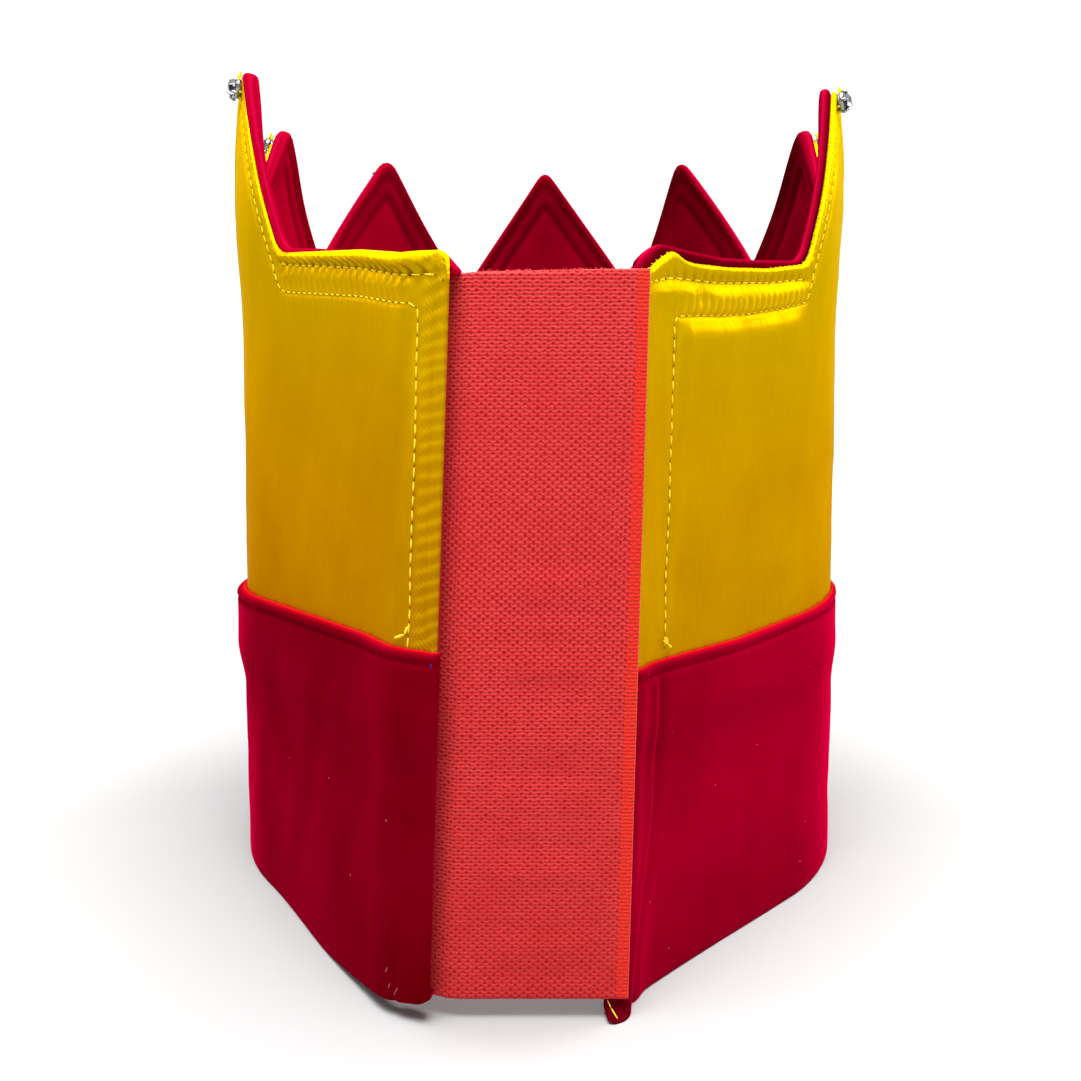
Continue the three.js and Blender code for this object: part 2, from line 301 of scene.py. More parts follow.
@dataclass
class WallLine:
    """A line on the wall, drawn through points of station and height."""

    station: Array
    height: Array

    def __post_init__(self) -> None:
        """Works out the running length at each point."""
        self.run = running_length(self.station, self.height)

    @classmethod
    def through(cls, points: Sequence[Span]) -> "WallLine":
        """The line through points of station and height."""
        return cls(*np.array(points, dtype=float).T)

    @property
    def length(self) -> float:
        """Length of the whole line in millimetres."""
        return float(self.run[-1])

    def at(self, run: Array) -> tuple[Array, Array]:
        """Station and height at running lengths."""
        return np.interp(run, self.run, self.station), np.interp(run, self.run, self.height)

    def nearest(self, station: Array, z: Array) -> tuple[Array, Array]:
        """Distance to the line and the running length of its nearest place.

        Args:
            station: stations of the points.
            z: heights of the points.

        Returns:
            Distances and running lengths.
        """
        best = np.full(station.shape, np.inf)
        run = np.zeros(station.shape)
        for k in range(len(self.station) - 1):
            along = self.station[k + 1] - self.station[k]
            up = self.height[k + 1] - self.height[k]
            length = math.hypot(along, up)
            ahead = (station - self.station[k]) * along + (z - self.height[k]) * up
            share = np.clip(ahead / length**2, 0, 1)
            away = np.hypot(station - self.station[k] - share * along, z - self.height[k] - share * up)
            closer = away < best
            best = np.where(closer, away, best)
            run = np.where(closer, self.run[k] + share * length, run)
        return best, run


@dataclass
class Pattern:
    """The cut of the wall: its top edge and the lines that are stitched on it."""

    plan: CrownPlan
    tip_tops: tuple[float, ...] = (219.5, 217.5, 217, 217, 217, 217, 216)
    notches: Table = ((-94, 179), (-61, 177), (-19.3, 172.6), (24.5, 170.8), (59.2, 177), (94, 179))
    left_top: tuple[Place, ...] = (
        (0, 156.5, 0), (0.4, 160.8, 2.4), (13, 161.2, 0), (33, 164.2, 0), (76, 168.5, 5),
    )
    right_top: tuple[Place, ...] = (
        (82, 166.5, 5), (41, 162.8, 0), (15, 162.6, 2.5), (6, 157.8, 0), (0, 157, 0),
    )
    tip_round: float = 5.5
    tip_drop: float = 2.2
    notch_round: float = 3.5
    round_steps: int = 8
    left_upper_span: Span = (2.6, 75.0)
    left_upper_drops: Span = (5.0, 2.9)
    left_lower_span: Span = (9.0, 75.5)
    left_lower_drops: Span = (10.5, 9.8)
    right_upper_row: Table = (
        (79, 162.2), (60, 159.7), (37, 157.6), (17, 157.0), (8, 155.4), (3, 154.6),
    )
    right_lower_row: Table = (
        (81.5, 156.6), (66, 153.8), (50, 151.5), (37, 150.3), (26, 149.6), (19, 148.9),
    )
    flank_drop: float = 8.2
    groove_drop: float = 13.5
    left_row: float = 6.9
    right_row: float = 18.5
    row_feet: Span = (79.0, 75.0)
    row_join: float = 2.0
    corner_cut: float = 1.5
    row_points: int = 24
    wrap_fade: float = 12.0
    wrap_table: Table = ((162, 0), (170, 0.6), (195, 1.1), (217, 1.8))

    def __post_init__(self) -> None:
        """Draws the edge and the stitched lines."""
        self.corners = self._corners()
        self.edge = self._rounded(self.corners)
        self.left_upper = self._left_row(self.left_upper_span, self.left_upper_drops)
        self.left_lower = self._left_row(self.left_lower_span, self.left_lower_drops)
        self.right_upper = self._right_row(self.right_upper_row)
        self.right_lower = self._right_row(self.right_lower_row)
        self.main_row = self._main_row()
        self.groove = self._groove()

    def _corners(self) -> list[Place]:
        """Sharp corners of the top edge.

        Returns:
            Station, height and rounding of each corner.
        """
        plan = self.plan
        points = [(plan.from_end(Side.LEFT, s), z, r) for s, z, r in self.left_top]
        for k, angle in enumerate(plan.tip_angles):
            points.append((plan.station_of(angle), self.tip_tops[k] + self.tip_drop, self.tip_round))
            if k < len(self.notches):
                place, height = self.notches[k]
                points.append((plan.station_of(place), height, self.notch_round))
        points += [(plan.from_end(Side.RIGHT, s), z, r) for s, z, r in self.right_top]
        return points

    def _rounded(self, corners: Sequence[Place]) -> WallLine:
        """The line through corners, with a short curve at each rounded one.

        Args:
            corners: station, height and rounding of each corner.

        Returns:
            The line.
        """
        spots = [Vector((s, z)) for s, z, _ in corners]
        line: list[Vector] = []
        for k, (_, _, rounding) in enumerate(corners):
            if rounding == 0:
                line.append(spots[k])
                continue
            before = spots[k] + (spots[k - 1] - spots[k]).normalized() * rounding
            after = spots[k] + (spots[k + 1] - spots[k]).normalized() * rounding
            for step in range(self.round_steps + 1):
                share = step / self.round_steps
                line.append(before.lerp(spots[k], share).lerp(spots[k].lerp(after, share), share))
        return WallLine.through([tuple(spot) for spot in line])

    def _lowered(self, first: float, last: float, drop: float) -> list[Span]:
        """The sharp edge between two stations, lowered by a drop."""
        return [(s, z - drop) for s, z, _ in self.corners if first < s < last]

    def _main_row(self) -> WallLine:
        """The row that runs up one end, along the panel, over all the points and down again.

        Returns:
            The row.
        """
        plan = self.plan
        left = plan.from_end(Side.LEFT, self.left_row)
        right = plan.from_end(Side.RIGHT, self.right_row)
        start = (left, self.row_feet[0])
        finish = (right, self.row_feet[1])
        left_low = list(zip(self.left_lower.station, self.left_lower.height))
        right_low = list(zip(self.right_lower.station, self.right_lower.height))
        first = left_low[-1][0] + self.row_join
        last = right_low[0][0] - self.row_join
        over = self._lowered(first, last, self.flank_drop)
        corner_left = (left, left_low[0][1] - self.corner_cut)
        corner_right = (right, right_low[-1][1] - self.corner_cut)
        return WallLine.through([start, corner_left, *left_low, *over, *right_low, corner_right, finish])

    def _left_row(self, span: Span, drops: Span) -> WallLine:
        """A row below the left panel's edge: where it runs from the wall's end, and its drops there."""
        stations = self.plan.left + np.linspace(*span, self.row_points)
        return WallLine(stations, self.top(stations) - np.linspace(*drops, self.row_points))

    def _right_row(self, table: Table) -> WallLine:
        """A row of stitches on the right panel, from lengths before the wall's end and heights."""
        before, heights = np.array(table).T
        return WallLine(self.plan.right - before, heights)

    def _groove(self) -> WallLine:
        """The groove that shows on the lining inside each point.

        Returns:
            The groove's line.
        """
        first = len(self.left_top) - 1
        last = len(self.corners) - len(self.right_top) + 1
        return WallLine.through([(s, z - self.groove_drop) for s, z, _ in self.corners[first:last]])

    def wrap(self, side: Side, station: Array, z: Array) -> Array:
        """How far the lining rolls outwards over the edge of the point next to one back panel.

        Args:
            side: which back panel.
            station: stations of the points.
            z: their heights.

        Returns:
            The distances in millimetres.
        """
        notch = self.plan.station_of(self.notches[0 if side is Side.LEFT else -1][0])
        near = smoothstep((station - notch) * side.value, 0, self.wrap_fade)
        heights, shifts = np.array(self.wrap_table).T
        return near * np.interp(z, heights, shifts)

    def top(self, station: Array) -> Array:
        """Height of the top edge at a station."""
        return np.interp(station, self.edge.station, self.edge.height)


def area_under(station: Array, height: Array) -> float:
    """Area between the table and a line of heights over stations."""
    return float(np.sum((height[1:] + height[:-1]) / 2 * np.diff(station)))


def spaced(spans: Sequence[tuple[float, float, float]]) -> Array:
    """Columns along a wall.

    Args:
        spans: start, end and step of each stretch, one after the other.

    Returns:
        Stations from the first start to the last end.
    """
    runs = [np.linspace(a, b, max(2, round((b - a) / step) + 1))[:-1] for a, b, step in spans]
    return np.concatenate([*runs, [spans[-1][1]]])


def finished_piece(bm: bmesh.types.BMesh, name: str, smooth: bool = True) -> Piece:
    """Makes an object of a bmesh and frees the bmesh.

    Args:
        bm: the shape, in metres, in the crown's frame.
        name: the piece's name.
        smooth: whether its faces are shaded smooth.

    Returns:
        The new object, at the origin.
    """
    mesh = bpy.data.meshes.new(name)
    bm.to_mesh(mesh)
    bm.free()
    if smooth:
        mesh.shade_smooth()
    piece = bpy.data.objects.new(name, mesh)
    bpy.context.scene.collection.objects.link(piece)
    return piece


def wrapped_strip(
    name: str,
    columns: int,
    rows: int,
    place: Callable[[Array, Array], tuple[Array, ...]],
) -> Piece:
    """A closed strip of cloth: a grid whose last row lies on its first and whose ends are shut.

    Args:
        name: the piece's name.
        columns: how many columns of points.
        rows: how many rows of points, the last one on the first.
        place: gives points and the values of KEPT, all or the first ones, for columns and rows.

    Returns:
        The strip, with those values kept at each point in millimetres.
    """
    bm = bmesh.new()
    bmesh.ops.create_grid(bm, x_segments=columns - 1, y_segments=rows - 1, size=1.0)
    grid = np.array([vert.co[:2] for vert in bm.verts])
    column = np.rint((grid[:, 0] + 1) / 2 * (columns - 1)).astype(int)
    row = np.rint((grid[:, 1] + 1) / 2 * (rows - 1)).astype(int)
    points, *values = place(column, row)
    layers = [bm.verts.layers.float.new(kept) for kept, _ in zip(KEPT, values)]
    for vert, point, *own in zip(bm.verts, points, *values):
        vert.co = point
        for layer, value in zip(layers, own):
            vert[layer] = value
    bmesh.ops.remove_doubles(bm, verts=bm.verts, dist=WELD)
    bmesh.ops.recalc_face_normals(bm, faces=bm.faces)
    return finished_piece(bm, name)


class NodeBoard:
    """Short calls for the nodes of one material."""

    def __init__(self, name: str) -> None:
        """Starts a material with its Principled shader.

        Args:
            name: the material's name.
        """
        self.material = bpy.data.materials.new(name)
        self.material.use_nodes = True
        self.tree = self.material.node_tree
        self.shader = self.tree.nodes["Principled BSDF"]

    def feed(self, socket: Socket, value: object) -> None:
        """Sets a socket to a number or colour, or joins another socket to it.

        Args:
            socket: the socket that is fed.
            value: a number, a colour or a socket.
        """
        if isinstance(value, Socket):
            self.tree.links.new(value, socket)
        else:
            socket.default_value = value

    def surface(self, **values: object) -> None:
        """Feeds the shader's sockets, named with underscores for spaces."""
        for name, value in values.items():
            self.feed(self.shader.inputs[name.replace("_", " ")], value)

    def attribute(self, name: str) -> Socket:
        """A number kept at each point of the piece.

        Args:
            name: one of KEPT.

        Returns:
            The number's socket.
        """
        node = self.tree.nodes.new("ShaderNodeAttribute")
        node.attribute_name = name
        return node.outputs["Fac"]

    def math(self, operation: str, *values: object) -> Socket:
        """One sum on numbers or sockets.

        Args:
            operation: Blender's name of the sum.
            values: what it is worked out from.

        Returns:
            The result's socket.
        """
        node = self.tree.nodes.new("ShaderNodeMath")
        node.operation = operation
        for socket, value in zip(node.inputs, values):
            self.feed(socket, value)
        return node.outputs["Value"]

    def add(self, first: object, second: object) -> Socket:
        """The sum of two numbers."""
        return self.math("ADD", first, second)

    def less(self, first: object, second: object) -> Socket:
        """The first number less the second."""
        return self.math("SUBTRACT", first, second)

    def times(self, first: object, second: object) -> Socket:
        """The product of two numbers."""
        return self.math("MULTIPLY", first, second)

    def wave(self, value: object, pitch: float) -> Socket:
        """A wave between -1 and 1 along a value."""
        return self.math("SINE", self.times(value, math.tau / pitch))

    def vector(self, x: object, y: object) -> Socket:
        """Two numbers as one vector.

        Args:
            x: the first number.
            y: the second number.

        Returns:
            The vector's socket.
        """
        node = self.tree.nodes.new("ShaderNodeCombineXYZ")
        for socket, value in zip(node.inputs, (x, y)):
            self.feed(socket, value)
        return node.outputs["Vector"]

    def place(self) -> Socket:
        """The point's place on the piece."""
        return self.tree.nodes.new("ShaderNodeTexCoord").outputs["Object"]

    def noise(self, vector: object, scale: float, detail: float = MIDDLING) -> Socket:
        """Soft noise between 0 and 1.

        Args:
            vector: where the noise is read.
            scale: how fine it is.
            detail: how many finer layers it has.

        Returns:
            The noise's socket.
        """
        node = self.tree.nodes.new("ShaderNodeTexNoise")
        self.feed(node.inputs["Vector"], vector)
        node.inputs["Scale"].default_value = scale
        node.inputs["Detail"].default_value = detail
        return node.outputs["Fac"]

    def drawn_noise(self, station: object, height: object, stretch: float, scale: float) -> Socket:
        """Noise that is drawn out up the wall: the lower the stretch, the longer its streaks."""
        return self.noise(self.vector(station, self.times(height, stretch)), scale, FINE)

    def ease(self, value: object, low: float, high: float) -> Socket:
        """Eases from 0 at low to 1 at high.

        Args:
            value: what is eased.
            low: where the result is 0.
            high: where it is 1.

        Returns:
            The result's socket.
        """
        node = self.tree.nodes.new("ShaderNodeMapRange")
        node.interpolation_type = "SMOOTHSTEP"
        self.feed(node.inputs["Value"], value)
        node.inputs["From Min"].default_value = low
        node.inputs["From Max"].default_value = high
        return node.outputs["Result"]

    def mix(self, share: object, first: object, second: object) -> Socket:
        """Colour between two colours.

        Args:
            share: how much of the second colour.
            first: a colour or a socket.
            second: a colour or a socket.

        Returns:
            The colour's socket.
        """
        node = self.tree.nodes.new("ShaderNodeMix")
        node.data_type = "RGBA"
        self.feed(node.inputs[0], share)
        for socket, colour in zip(node.inputs[MIX_COLOURS], (first, second)):
            self.feed(socket, colour if isinstance(colour, Socket) else (*colour, 1.0))
        return node.outputs[MIX_RESULT]

    def bump(self, height: object, strength: float, distance: float) -> None:
        """Gives the shader a bumped normal.

        Args:
            height: heights between 0 and 1.
            strength: how much they show.
            distance: what a height of 1 stands for, in metres.
        """
        node = self.tree.nodes.new("ShaderNodeBump")
        node.inputs["Strength"].default_value = strength
        node.inputs["Distance"].default_value = distance
        self.feed(node.inputs["Height"], height)
        self.feed(self.shader.inputs["Normal"], node.outputs["Normal"])


@dataclass(frozen=True)
class SatinFinish:
    """Golden yellow satin: a coloured gloss over fine threads, creased at its edges, corded at one end, and
    painted with light and shade.
    """

    left_end: float
    # Dark and light: the satin's tone, mixed by random streaks and by painted top light.
    dark: Colour = (0.35, 0.138, 0.0)
    light: Colour = (0.59, 0.305, 0.0)
    lemon: Colour = (0.6, 0.36, 0.0)
    rim: Colour = (1.0, 0.62, 0.0)
    # Fold: painted highlight on the rolled edge, the folded left end and the pucker crests.
    fold: Colour = (0.92, 0.58, 0.0)
    # Slot: painted shade in the pucker hollows.
    slot: Colour = (0.16, 0.06, 0.0)
    tip: Colour = (0.47, 0.32, 0.0)
    tip_lemon: Colour = (0.51, 0.365, 0.0)
    tip_heights: Span = (100.0, 210.0)
    thread_stretch: float = 0.12
    thread_scale: float = 1.4
    thread_share: float = 0.26
    crease_stretch: float = 0.7
    crease_scale: float = 0.75
    cloud_scale: float = 34.0
    cloud_share: float = 0.56
    # Painted top light: heights over which the satin is painted lighter, and how much.
    top_light_heights: Span = (70.0, 185.0)
    top_light_share: float = 0.75
    turned_span: Span = (-120.0, 220.0)
    turned_share: float = 0.2
    turned_fade: float = 0.6
    base_shade: float = 0.22
    # Where the painted highlight lies: near the top edge and the left end, broken by creases.
    highlight_depth: Span = (0.6, 2.6)
    highlight_reach: Span = (60.0, 70.0)
    highlight_mottle: float = 4.0
    # How strongly the puckers are painted: shade in their hollows and highlight on their crests.
    slot_shade: float = 0.75
    crest_highlight: float = 1.3
    metallic: float = 0.48
    roughness: float = 0.4
    cord_reach: Span = (4.6, 6.6)
    cord_pitch: float = 1.25
    cord_depth: float = 0.35
    # Painted light and shade of puckers in the margin by the corded end.
    margin_pitch: float = 3.1
    margin_shading_strength: float = 0.15
    margin_slant: float = 0.25
    margin_drift: float = 11.0
    crease_depth: Span = (17.0 / 3, 17.0)
    wrinkle_bump: Span = (2.2, 0.4)
    strand_bump: Span = (1.8, 0.5)
    bump: Span = (0.55, 0.00015)

    def material(self) -> Material:
        """Makes the material.

        Returns:
            The material.
        """
        board = NodeBoard("golden_satin")
        station, height, depth, puckered = (board.attribute(name) for name in KEPT)
        threads = board.drawn_noise(station, height, self.thread_stretch, self.thread_scale)
        creases = board.drawn_noise(station, height, self.crease_stretch, self.crease_scale)
        cloud = board.noise(board.place(), self.cloud_scale, FINE)
        streaks = board.add(board.times(threads, self.thread_share), board.times(cloud, self.cloud_share))
        # Painted top light: the satin is painted lighter towards the top of the wall.
        fade = board.times(board.ease(height, *self.top_light_heights), self.top_light_share)
        turned = board.ease(station, *self.turned_span)
        low = board.times(turned, board.less(self.turned_share, board.times(fade, self.turned_fade)))
        share = board.add(board.add(streaks, fade), board.less(low, self.base_shade))
        wall = board.mix(share, self.dark, board.mix(turned, self.light, self.lemon))
        tip = board.mix(turned, self.tip, self.tip_lemon)
        cloth = board.mix(board.ease(height, *self.tip_heights), wall, tip)
        inward = board.less(station, self.left_end)
        # Painted highlight along the rolled top edge and the folded left end, broken by noise.
        mottle = board.times(board.less(creases, NOISE_MIDDLE), self.highlight_mottle)
        unhighlighted = board.ease(board.add(depth, mottle), *self.highlight_depth)
        plain = board.math("MAXIMUM", unhighlighted, board.ease(inward, *self.highlight_reach))
        near = board.less(1.0, board.ease(inward, *self.cord_reach))
        # The relief's puckers plus the painted margin puckers, used for painted light and shade.
        pucker = board.add(puckered, board.times(self._margin_shading(board, inward, height, cloud), near))
        folded = board.mix(plain, self.fold, cloth)
        # Painted highlight on the pucker crests, then painted shade in their hollows.
        crest_lit = board.mix(board.times(pucker, self.crest_highlight), folded, self.fold)
        board.surface(
            Base_Color=board.mix(board.times(pucker, -self.slot_shade), crest_lit, self.slot),
            Metallic=self.metallic,
            Roughness=self.roughness,
            Specular_IOR_Level=0.0,
            Specular_Tint=(*self.rim, 1.0),
        )
        creased = board.less(1.0, board.ease(depth, *self.crease_depth))
        cord = board.times(board.wave(board.less(station, height), self.cord_pitch), self.cord_depth)
        weave = board.times(cord, near)
        for noise, (most, least) in ((creases, self.wrinkle_bump), (threads, self.strand_bump)):
            weave = board.add(weave, board.times(noise, board.add(board.times(creased, most), least)))
        board.bump(weave, *self.bump)
        return board.material

    def _margin_shading(self, board: NodeBoard, inward: Socket, height: Socket, cloud: Socket) -> Socket:
        """Painted light and shade of uneven puckers between the corded end and its row.

        Args:
            board: the material's nodes.
            inward: distance from the corded end.
            height: height up the wall.
            cloud: noise that makes the puckers uneven.

        Returns:
            The painted puckers' socket: light above 0, shade below 0.
        """
        slant = board.add(height, board.times(inward, self.margin_slant))
        shaken = board.add(slant, board.times(cloud, self.margin_drift))
        return board.times(board.wave(shaken, self.margin_pitch), self.margin_shading_strength)


@dataclass(frozen=True)
class VelvetFinish:
    """Deep red velvet: a dark pile with a painted bright edge where it turns away, and painted sheen, light
    and shade.
    """

    name: str
    dark: Colour
    light: Colour
    # Rim: the rolled edge's colour, painted for how the edge is lit.
    rim: Colour
    # Line: painted highlight at the very edge; on the band an orange painted reflection of the satin.
    line: Colour
    rim_light_depth: float = 1.2
    highlight_line_depth: float = 0.2
    sheen: float = 0.42
    sheen_tint: Colour = (1.0, 0.0, 0.08)
    sheen_roughness: float = 0.3
    roughness: float = 0.9
    # Painted sheen of the nap: lighter from the first station towards the second.
    nap_sheen_span: Span = (0.0, 1.0)
    lit_share: float = 0.0
    lit_span: Span = (0.0, 1.0)
    shade: float = 0.0
    shade_span: Span = (0.0, 1.0)
    shade_heights: Span = (15.0, 65.0)
    hem_shade: float = 0.0
    hem_heights: Span = (30.0, 6.0)
    # Toe: painted shadow on the turned-out tab at the hem's right end.
    toe: Colour = (0.045, 0.0, 0.002)
    toe_shade: float = 0.0
    toe_span: Span = (0.0, 1.0)
    toe_heights: Span = (7.0, 3.0)
    crush: float = 0.6
    crush_stretch: float = 0.16
    crush_scale: float = 0.07
    brush: float = 0.5
    brush_scale: float = 60.0
    pile_scale: float = 2600.0
    bump: Span = (0.35, 0.0002)

    def material(self) -> Material:
        """Makes the material.

        Returns:
            The material.
        """
        board = NodeBoard(self.name)
        station, height, depth = (board.attribute(name) for name in KEPT[:3])
        crushed = board.drawn_noise(station, height, self.crush_stretch, self.crush_scale)
        brushed = board.noise(board.place(), self.brush_scale, FINE)
        marks = board.add(board.times(crushed, self.crush), board.times(brushed, self.brush))
        shaded = board.times(board.ease(station, *self.shade_span), board.ease(height, *self.shade_heights))
        darker = board.times(board.ease(station, *self.lit_span), self.lit_share)
        darker = board.add(darker, board.times(shaded, self.shade))
        darker = board.add(darker, board.times(board.ease(height, *self.hem_heights), self.hem_shade))
        level = (self.crush + self.brush) * NOISE_MIDDLE - self.lit_share
        # Painted nap sheen along the wall, less the painted shade and the fall-off beyond the lit span.
        nap_sheen = board.less(board.ease(station, *self.nap_sheen_span), darker)
        pile = board.mix(board.add(nap_sheen, board.less(marks, level)), self.dark, self.light)
        # Painted shadow on the hem's tab.
        toe = board.times(board.ease(station, *self.toe_span), board.ease(height, *self.toe_heights))
        pile = board.mix(board.times(toe, self.toe_shade), pile, self.toe)
        # Painted light on the rolled edge, then a painted highlight line at its very edge.
        folded = board.mix(board.ease(depth, 0.0, self.rim_light_depth), self.rim, pile)
        board.surface(
            Base_Color=board.mix(board.ease(depth, 0.0, self.highlight_line_depth), self.line, folded),
            Roughness=self.roughness,
            Specular_IOR_Level=0.0,
            Sheen_Weight=self.sheen,
            Sheen_Roughness=self.sheen_roughness,
            Sheen_Tint=(*self.sheen_tint, 1.0),
        )
        board.bump(board.noise(board.place(), self.pile_scale), *self.bump)
        return board.material


@dataclass(frozen=True)
class TapeFinish:
    """Woven hook tape: coral yarn with staggered dark gaps and a ribbed selvedge."""

    ground: Colour = (0.48, 0.013, 0.014)
    lit: Colour = (0.6, 0.048, 0.051)
    gap: Colour = (0.36, 0.002, 0.003)
    selvedge: Colour = (0.72, 0.027, 0.012)
    pitch: Span = (1.8, 1.53)
    gap_size: Span = (0.36, 0.33)
    gap_stagger: Span = (0.0, 0.5)
    gap_rim: Span = (0.55, 1.15)
    gap_noise: float = 900.0
    gap_uneven: Span = (0.9, 0.55)
    chevron: float = 0.2
    drift: float = 0.75
    drift_scale: float = 0.9
    selvedge_edge: Span = (2.4, 2.8)
    rib: float = 0.77
    rib_shade: float = 0.8
    patch_scale: float = 120.0
    # Painted top light: the yarn is painted lighter towards the top of the tape.
    top_lit_heights: Span = (0.0, 120.0)
    top_lit_share: Span = (0.35, 0.15)
    roughness: float = 0.75
    gloss: float = 0.1
    sheen: float = 0.2
    sheen_roughness: float = 0.5
    sheen_tint: Colour = (1.0, 0.35, 0.35)
    yarn_relief: float = 0.3
    bump: Span = (0.55, 0.0004)

    def material(self) -> Material:
        """Makes the material.

        Returns:
            The material.
        """
        board = NodeBoard("woven_hook_tape")
        across, up = (board.attribute(name) for name in KEPT[:2])
        drift = board.noise(board.vector(across, up), self.drift_scale, FINE)
        shaken = board.add(up, board.times(board.less(drift, NOISE_MIDDLE), self.drift))
        sets = [self._gaps(board, across, shaken, shift) for shift in self.gap_stagger]
        gaps = board.math("MAXIMUM", *sets)
        zigzag = board.math("PINGPONG", across, self.pitch[0] / 2)
        yarn = self._ribs(board, board.add(shaken, board.times(zigzag, self.chevron)))
        patch = board.noise(board.place(), self.patch_scale, FINE)
        most, least = self.top_lit_share
        # Painted top light: the yarn is painted lighter towards the top.
        worn = board.add(board.times(board.ease(up, *self.top_lit_heights), most), least)
        # Ground and lit: shaded and lit copies of the yarn, mixed along its ribs and patches.
        body = board.mix(board.times(yarn, board.add(patch, worn)), self.ground, self.lit)
        edge = board.mix(board.times(self._ribs(board, up), self.rib_shade), self.selvedge, self.ground)
        woven = board.mix(gaps, body, self.gap)
        board.surface(
            Base_Color=board.mix(board.ease(across, *self.selvedge_edge), edge, woven),
            Roughness=self.roughness,
            Specular_IOR_Level=self.gloss,
            Sheen_Weight=self.sheen,
            Sheen_Roughness=self.sheen_roughness,
            Sheen_Tint=(*self.sheen_tint, 1.0),
        )
        board.bump(board.less(board.times(yarn, self.yarn_relief), gaps), *self.bump)
        return board.material

    def _gaps(self, board: NodeBoard, across: Socket, up: Socket, shift: float) -> Socket:
        """One set of gaps on its grid.

        Args:
            board: the material's nodes.
            across: distance from the tape's selvedge.
            up: height up the tape.
            shift: how far the grid is moved, as a share of its pitch.

        Returns:
            A socket that is 1 in the gaps and 0 between them.
        """
        parts = []
        for value, pitch, size in zip((across, up), self.pitch, self.gap_size):
            cell = board.math("FRACT", board.add(board.math("DIVIDE", value, pitch), shift))
            parts.append(board.math("POWER", board.times(board.less(cell, 0.5), pitch / size), 2.0))
        most, least = self.gap_uneven
        uneven = board.add(board.times(board.noise(board.place(), self.gap_noise, COARSE), most), least)
        distance = board.times(board.math("SQRT", board.add(*parts)), uneven)
        return board.less(1.0, board.ease(distance, *self.gap_rim))

    def _ribs(self, board: NodeBoard, value: object) -> Socket:
        """Ribs between 0 and 1 along a value."""
        return board.add(board.times(board.wave(value, self.rib), 0.5), 0.5)


@dataclass(frozen=True)
class ThreadFinish:
    """Sewing thread, with its colour broken along its length."""

    name: str
    dark: Colour
    light: Colour
    twist_scale: float = 900.0
    roughness: float = 0.6
    bump: Span = (0.3, 0.0001)

    def material(self) -> Material:
        """Makes the material.

        Returns:
            The material.
        """
        board = NodeBoard(self.name)
        twist = board.noise(board.place(), self.twist_scale)
        board.surface(
            Base_Color=board.mix(twist, self.dark, self.light),
            Roughness=self.roughness,
            Specular_IOR_Level=0.0,
        )
        board.bump(twist, *self.bump)
        return board.material


@dataclass(frozen=True)
class StoneFinish:
    """Mirror-backed stone: bright and dark facets, painted in patches as glints and dark reflections."""

    bright: Colour = (0.9, 0.91, 0.93)
    dark_reflection: Colour = (0.03, 0.03, 0.035)
    glint_scale: float = 650.0
    glint_span: Span = (0.44, 0.54)
    roughness: float = 0.06

    def material(self) -> Material:
        """Makes the material.

        Returns:
            The material.
        """
        board = NodeBoard("mirror_backed_stone")
        # Painted glints and painted dark reflections in patches over the polished metal.
        glint = board.ease(board.noise(board.place(), self.glint_scale, COARSE), *self.glint_span)
        board.surface(
            Base_Color=board.mix(glint, self.dark_reflection, self.bright),
            Metallic=1.0,
            Roughness=self.roughness,
        )
        return board.material


@dataclass(frozen=True)
class MetalFinish:
    """Plated setting of a stone."""

    worn: Colour = (0.12, 0.12, 0.12)
    colour: Colour = (0.5, 0.5, 0.51)
    wear_scale: float = 700.0
    roughness: float = 0.22

    def material(self) -> Material:
        """Makes the material.

        Returns:
            The material.
        """
        board = NodeBoard("plated_setting")
        wear = board.noise(board.place(), self.wear_scale)
        board.surface(
            Base_Color=board.mix(wear, self.worn, self.colour),
            Metallic=1.0,
            Roughness=self.roughness,
        )
        return board.material


def dress(piece: Piece, material: Material) -> Piece:
    """Gives a piece its material, and lets it ride on the crown.

    Args:
        piece: the piece.
        material: its material.

    Returns:
        The piece.
    """
    piece.data.materials.append(material)
    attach(piece, "root")
    return piece


@dataclass
class ClothWall:
    """Sizes that the satin and the lining share: rows of points down a wall of cloth."""

    pattern: Pattern
    thickness: float = 1.5
    top_thickness: float = 1.5
    roll_depth: Span = (2.0, 7.5)
    upper_zone: float = 17.0
    upper_step: float = 0.5
    lower_rows: int = 26
    cap_steps: int = 6

    def rows(self, outer: float) -> tuple[Array, Array, Array, Array]:
        """The wall's section, up its outer face, over its rolled edge and down its inner face.

        Args:
            outer: offset of the outer face.

        Returns:
            For each row its drop below the edge, its share of the way down to the bottom,
            its offset, and how far it belongs to the outer face, from 1 to -1.
        """
        radius = self.top_thickness / 2
        drops = np.arange(radius, self.upper_zone + self.upper_step / 2, self.upper_step)
        falls = np.linspace(0, 1, self.lower_rows + 1)[1:]
        down = np.concatenate([drops, np.full(len(falls), drops[-1])])
        share = np.concatenate([np.zeros(len(drops)), falls])
        thinner = (self.thickness - self.top_thickness) * smoothstep(down, *self.roll_depth)
        turn = np.linspace(0, math.pi, self.cap_steps + 1)[1:-1]
        drop = np.concatenate([down[::-1], radius - radius * np.sin(turn), down, down[-1:]])
        fall = np.concatenate([share[::-1], np.zeros(len(turn)), share, share[-1:]])
        face = np.concatenate([np.ones(len(down)), np.cos(turn), -np.ones(len(down)), [1.0]])
        cap = outer - radius + radius * np.cos(turn)
        inner = outer - (self.top_thickness + thinner)
        offset = np.concatenate([np.full(len(down), outer), cap, inner, [outer]])
        return drop, fall, offset, face

    def end_share(self, station: Array, first: float, last: float) -> Array:
        """Share of the full thickness that is left near two ends, which are folded round."""
        return rounded_share(np.minimum(station - first, last - station), self.thickness / 2)


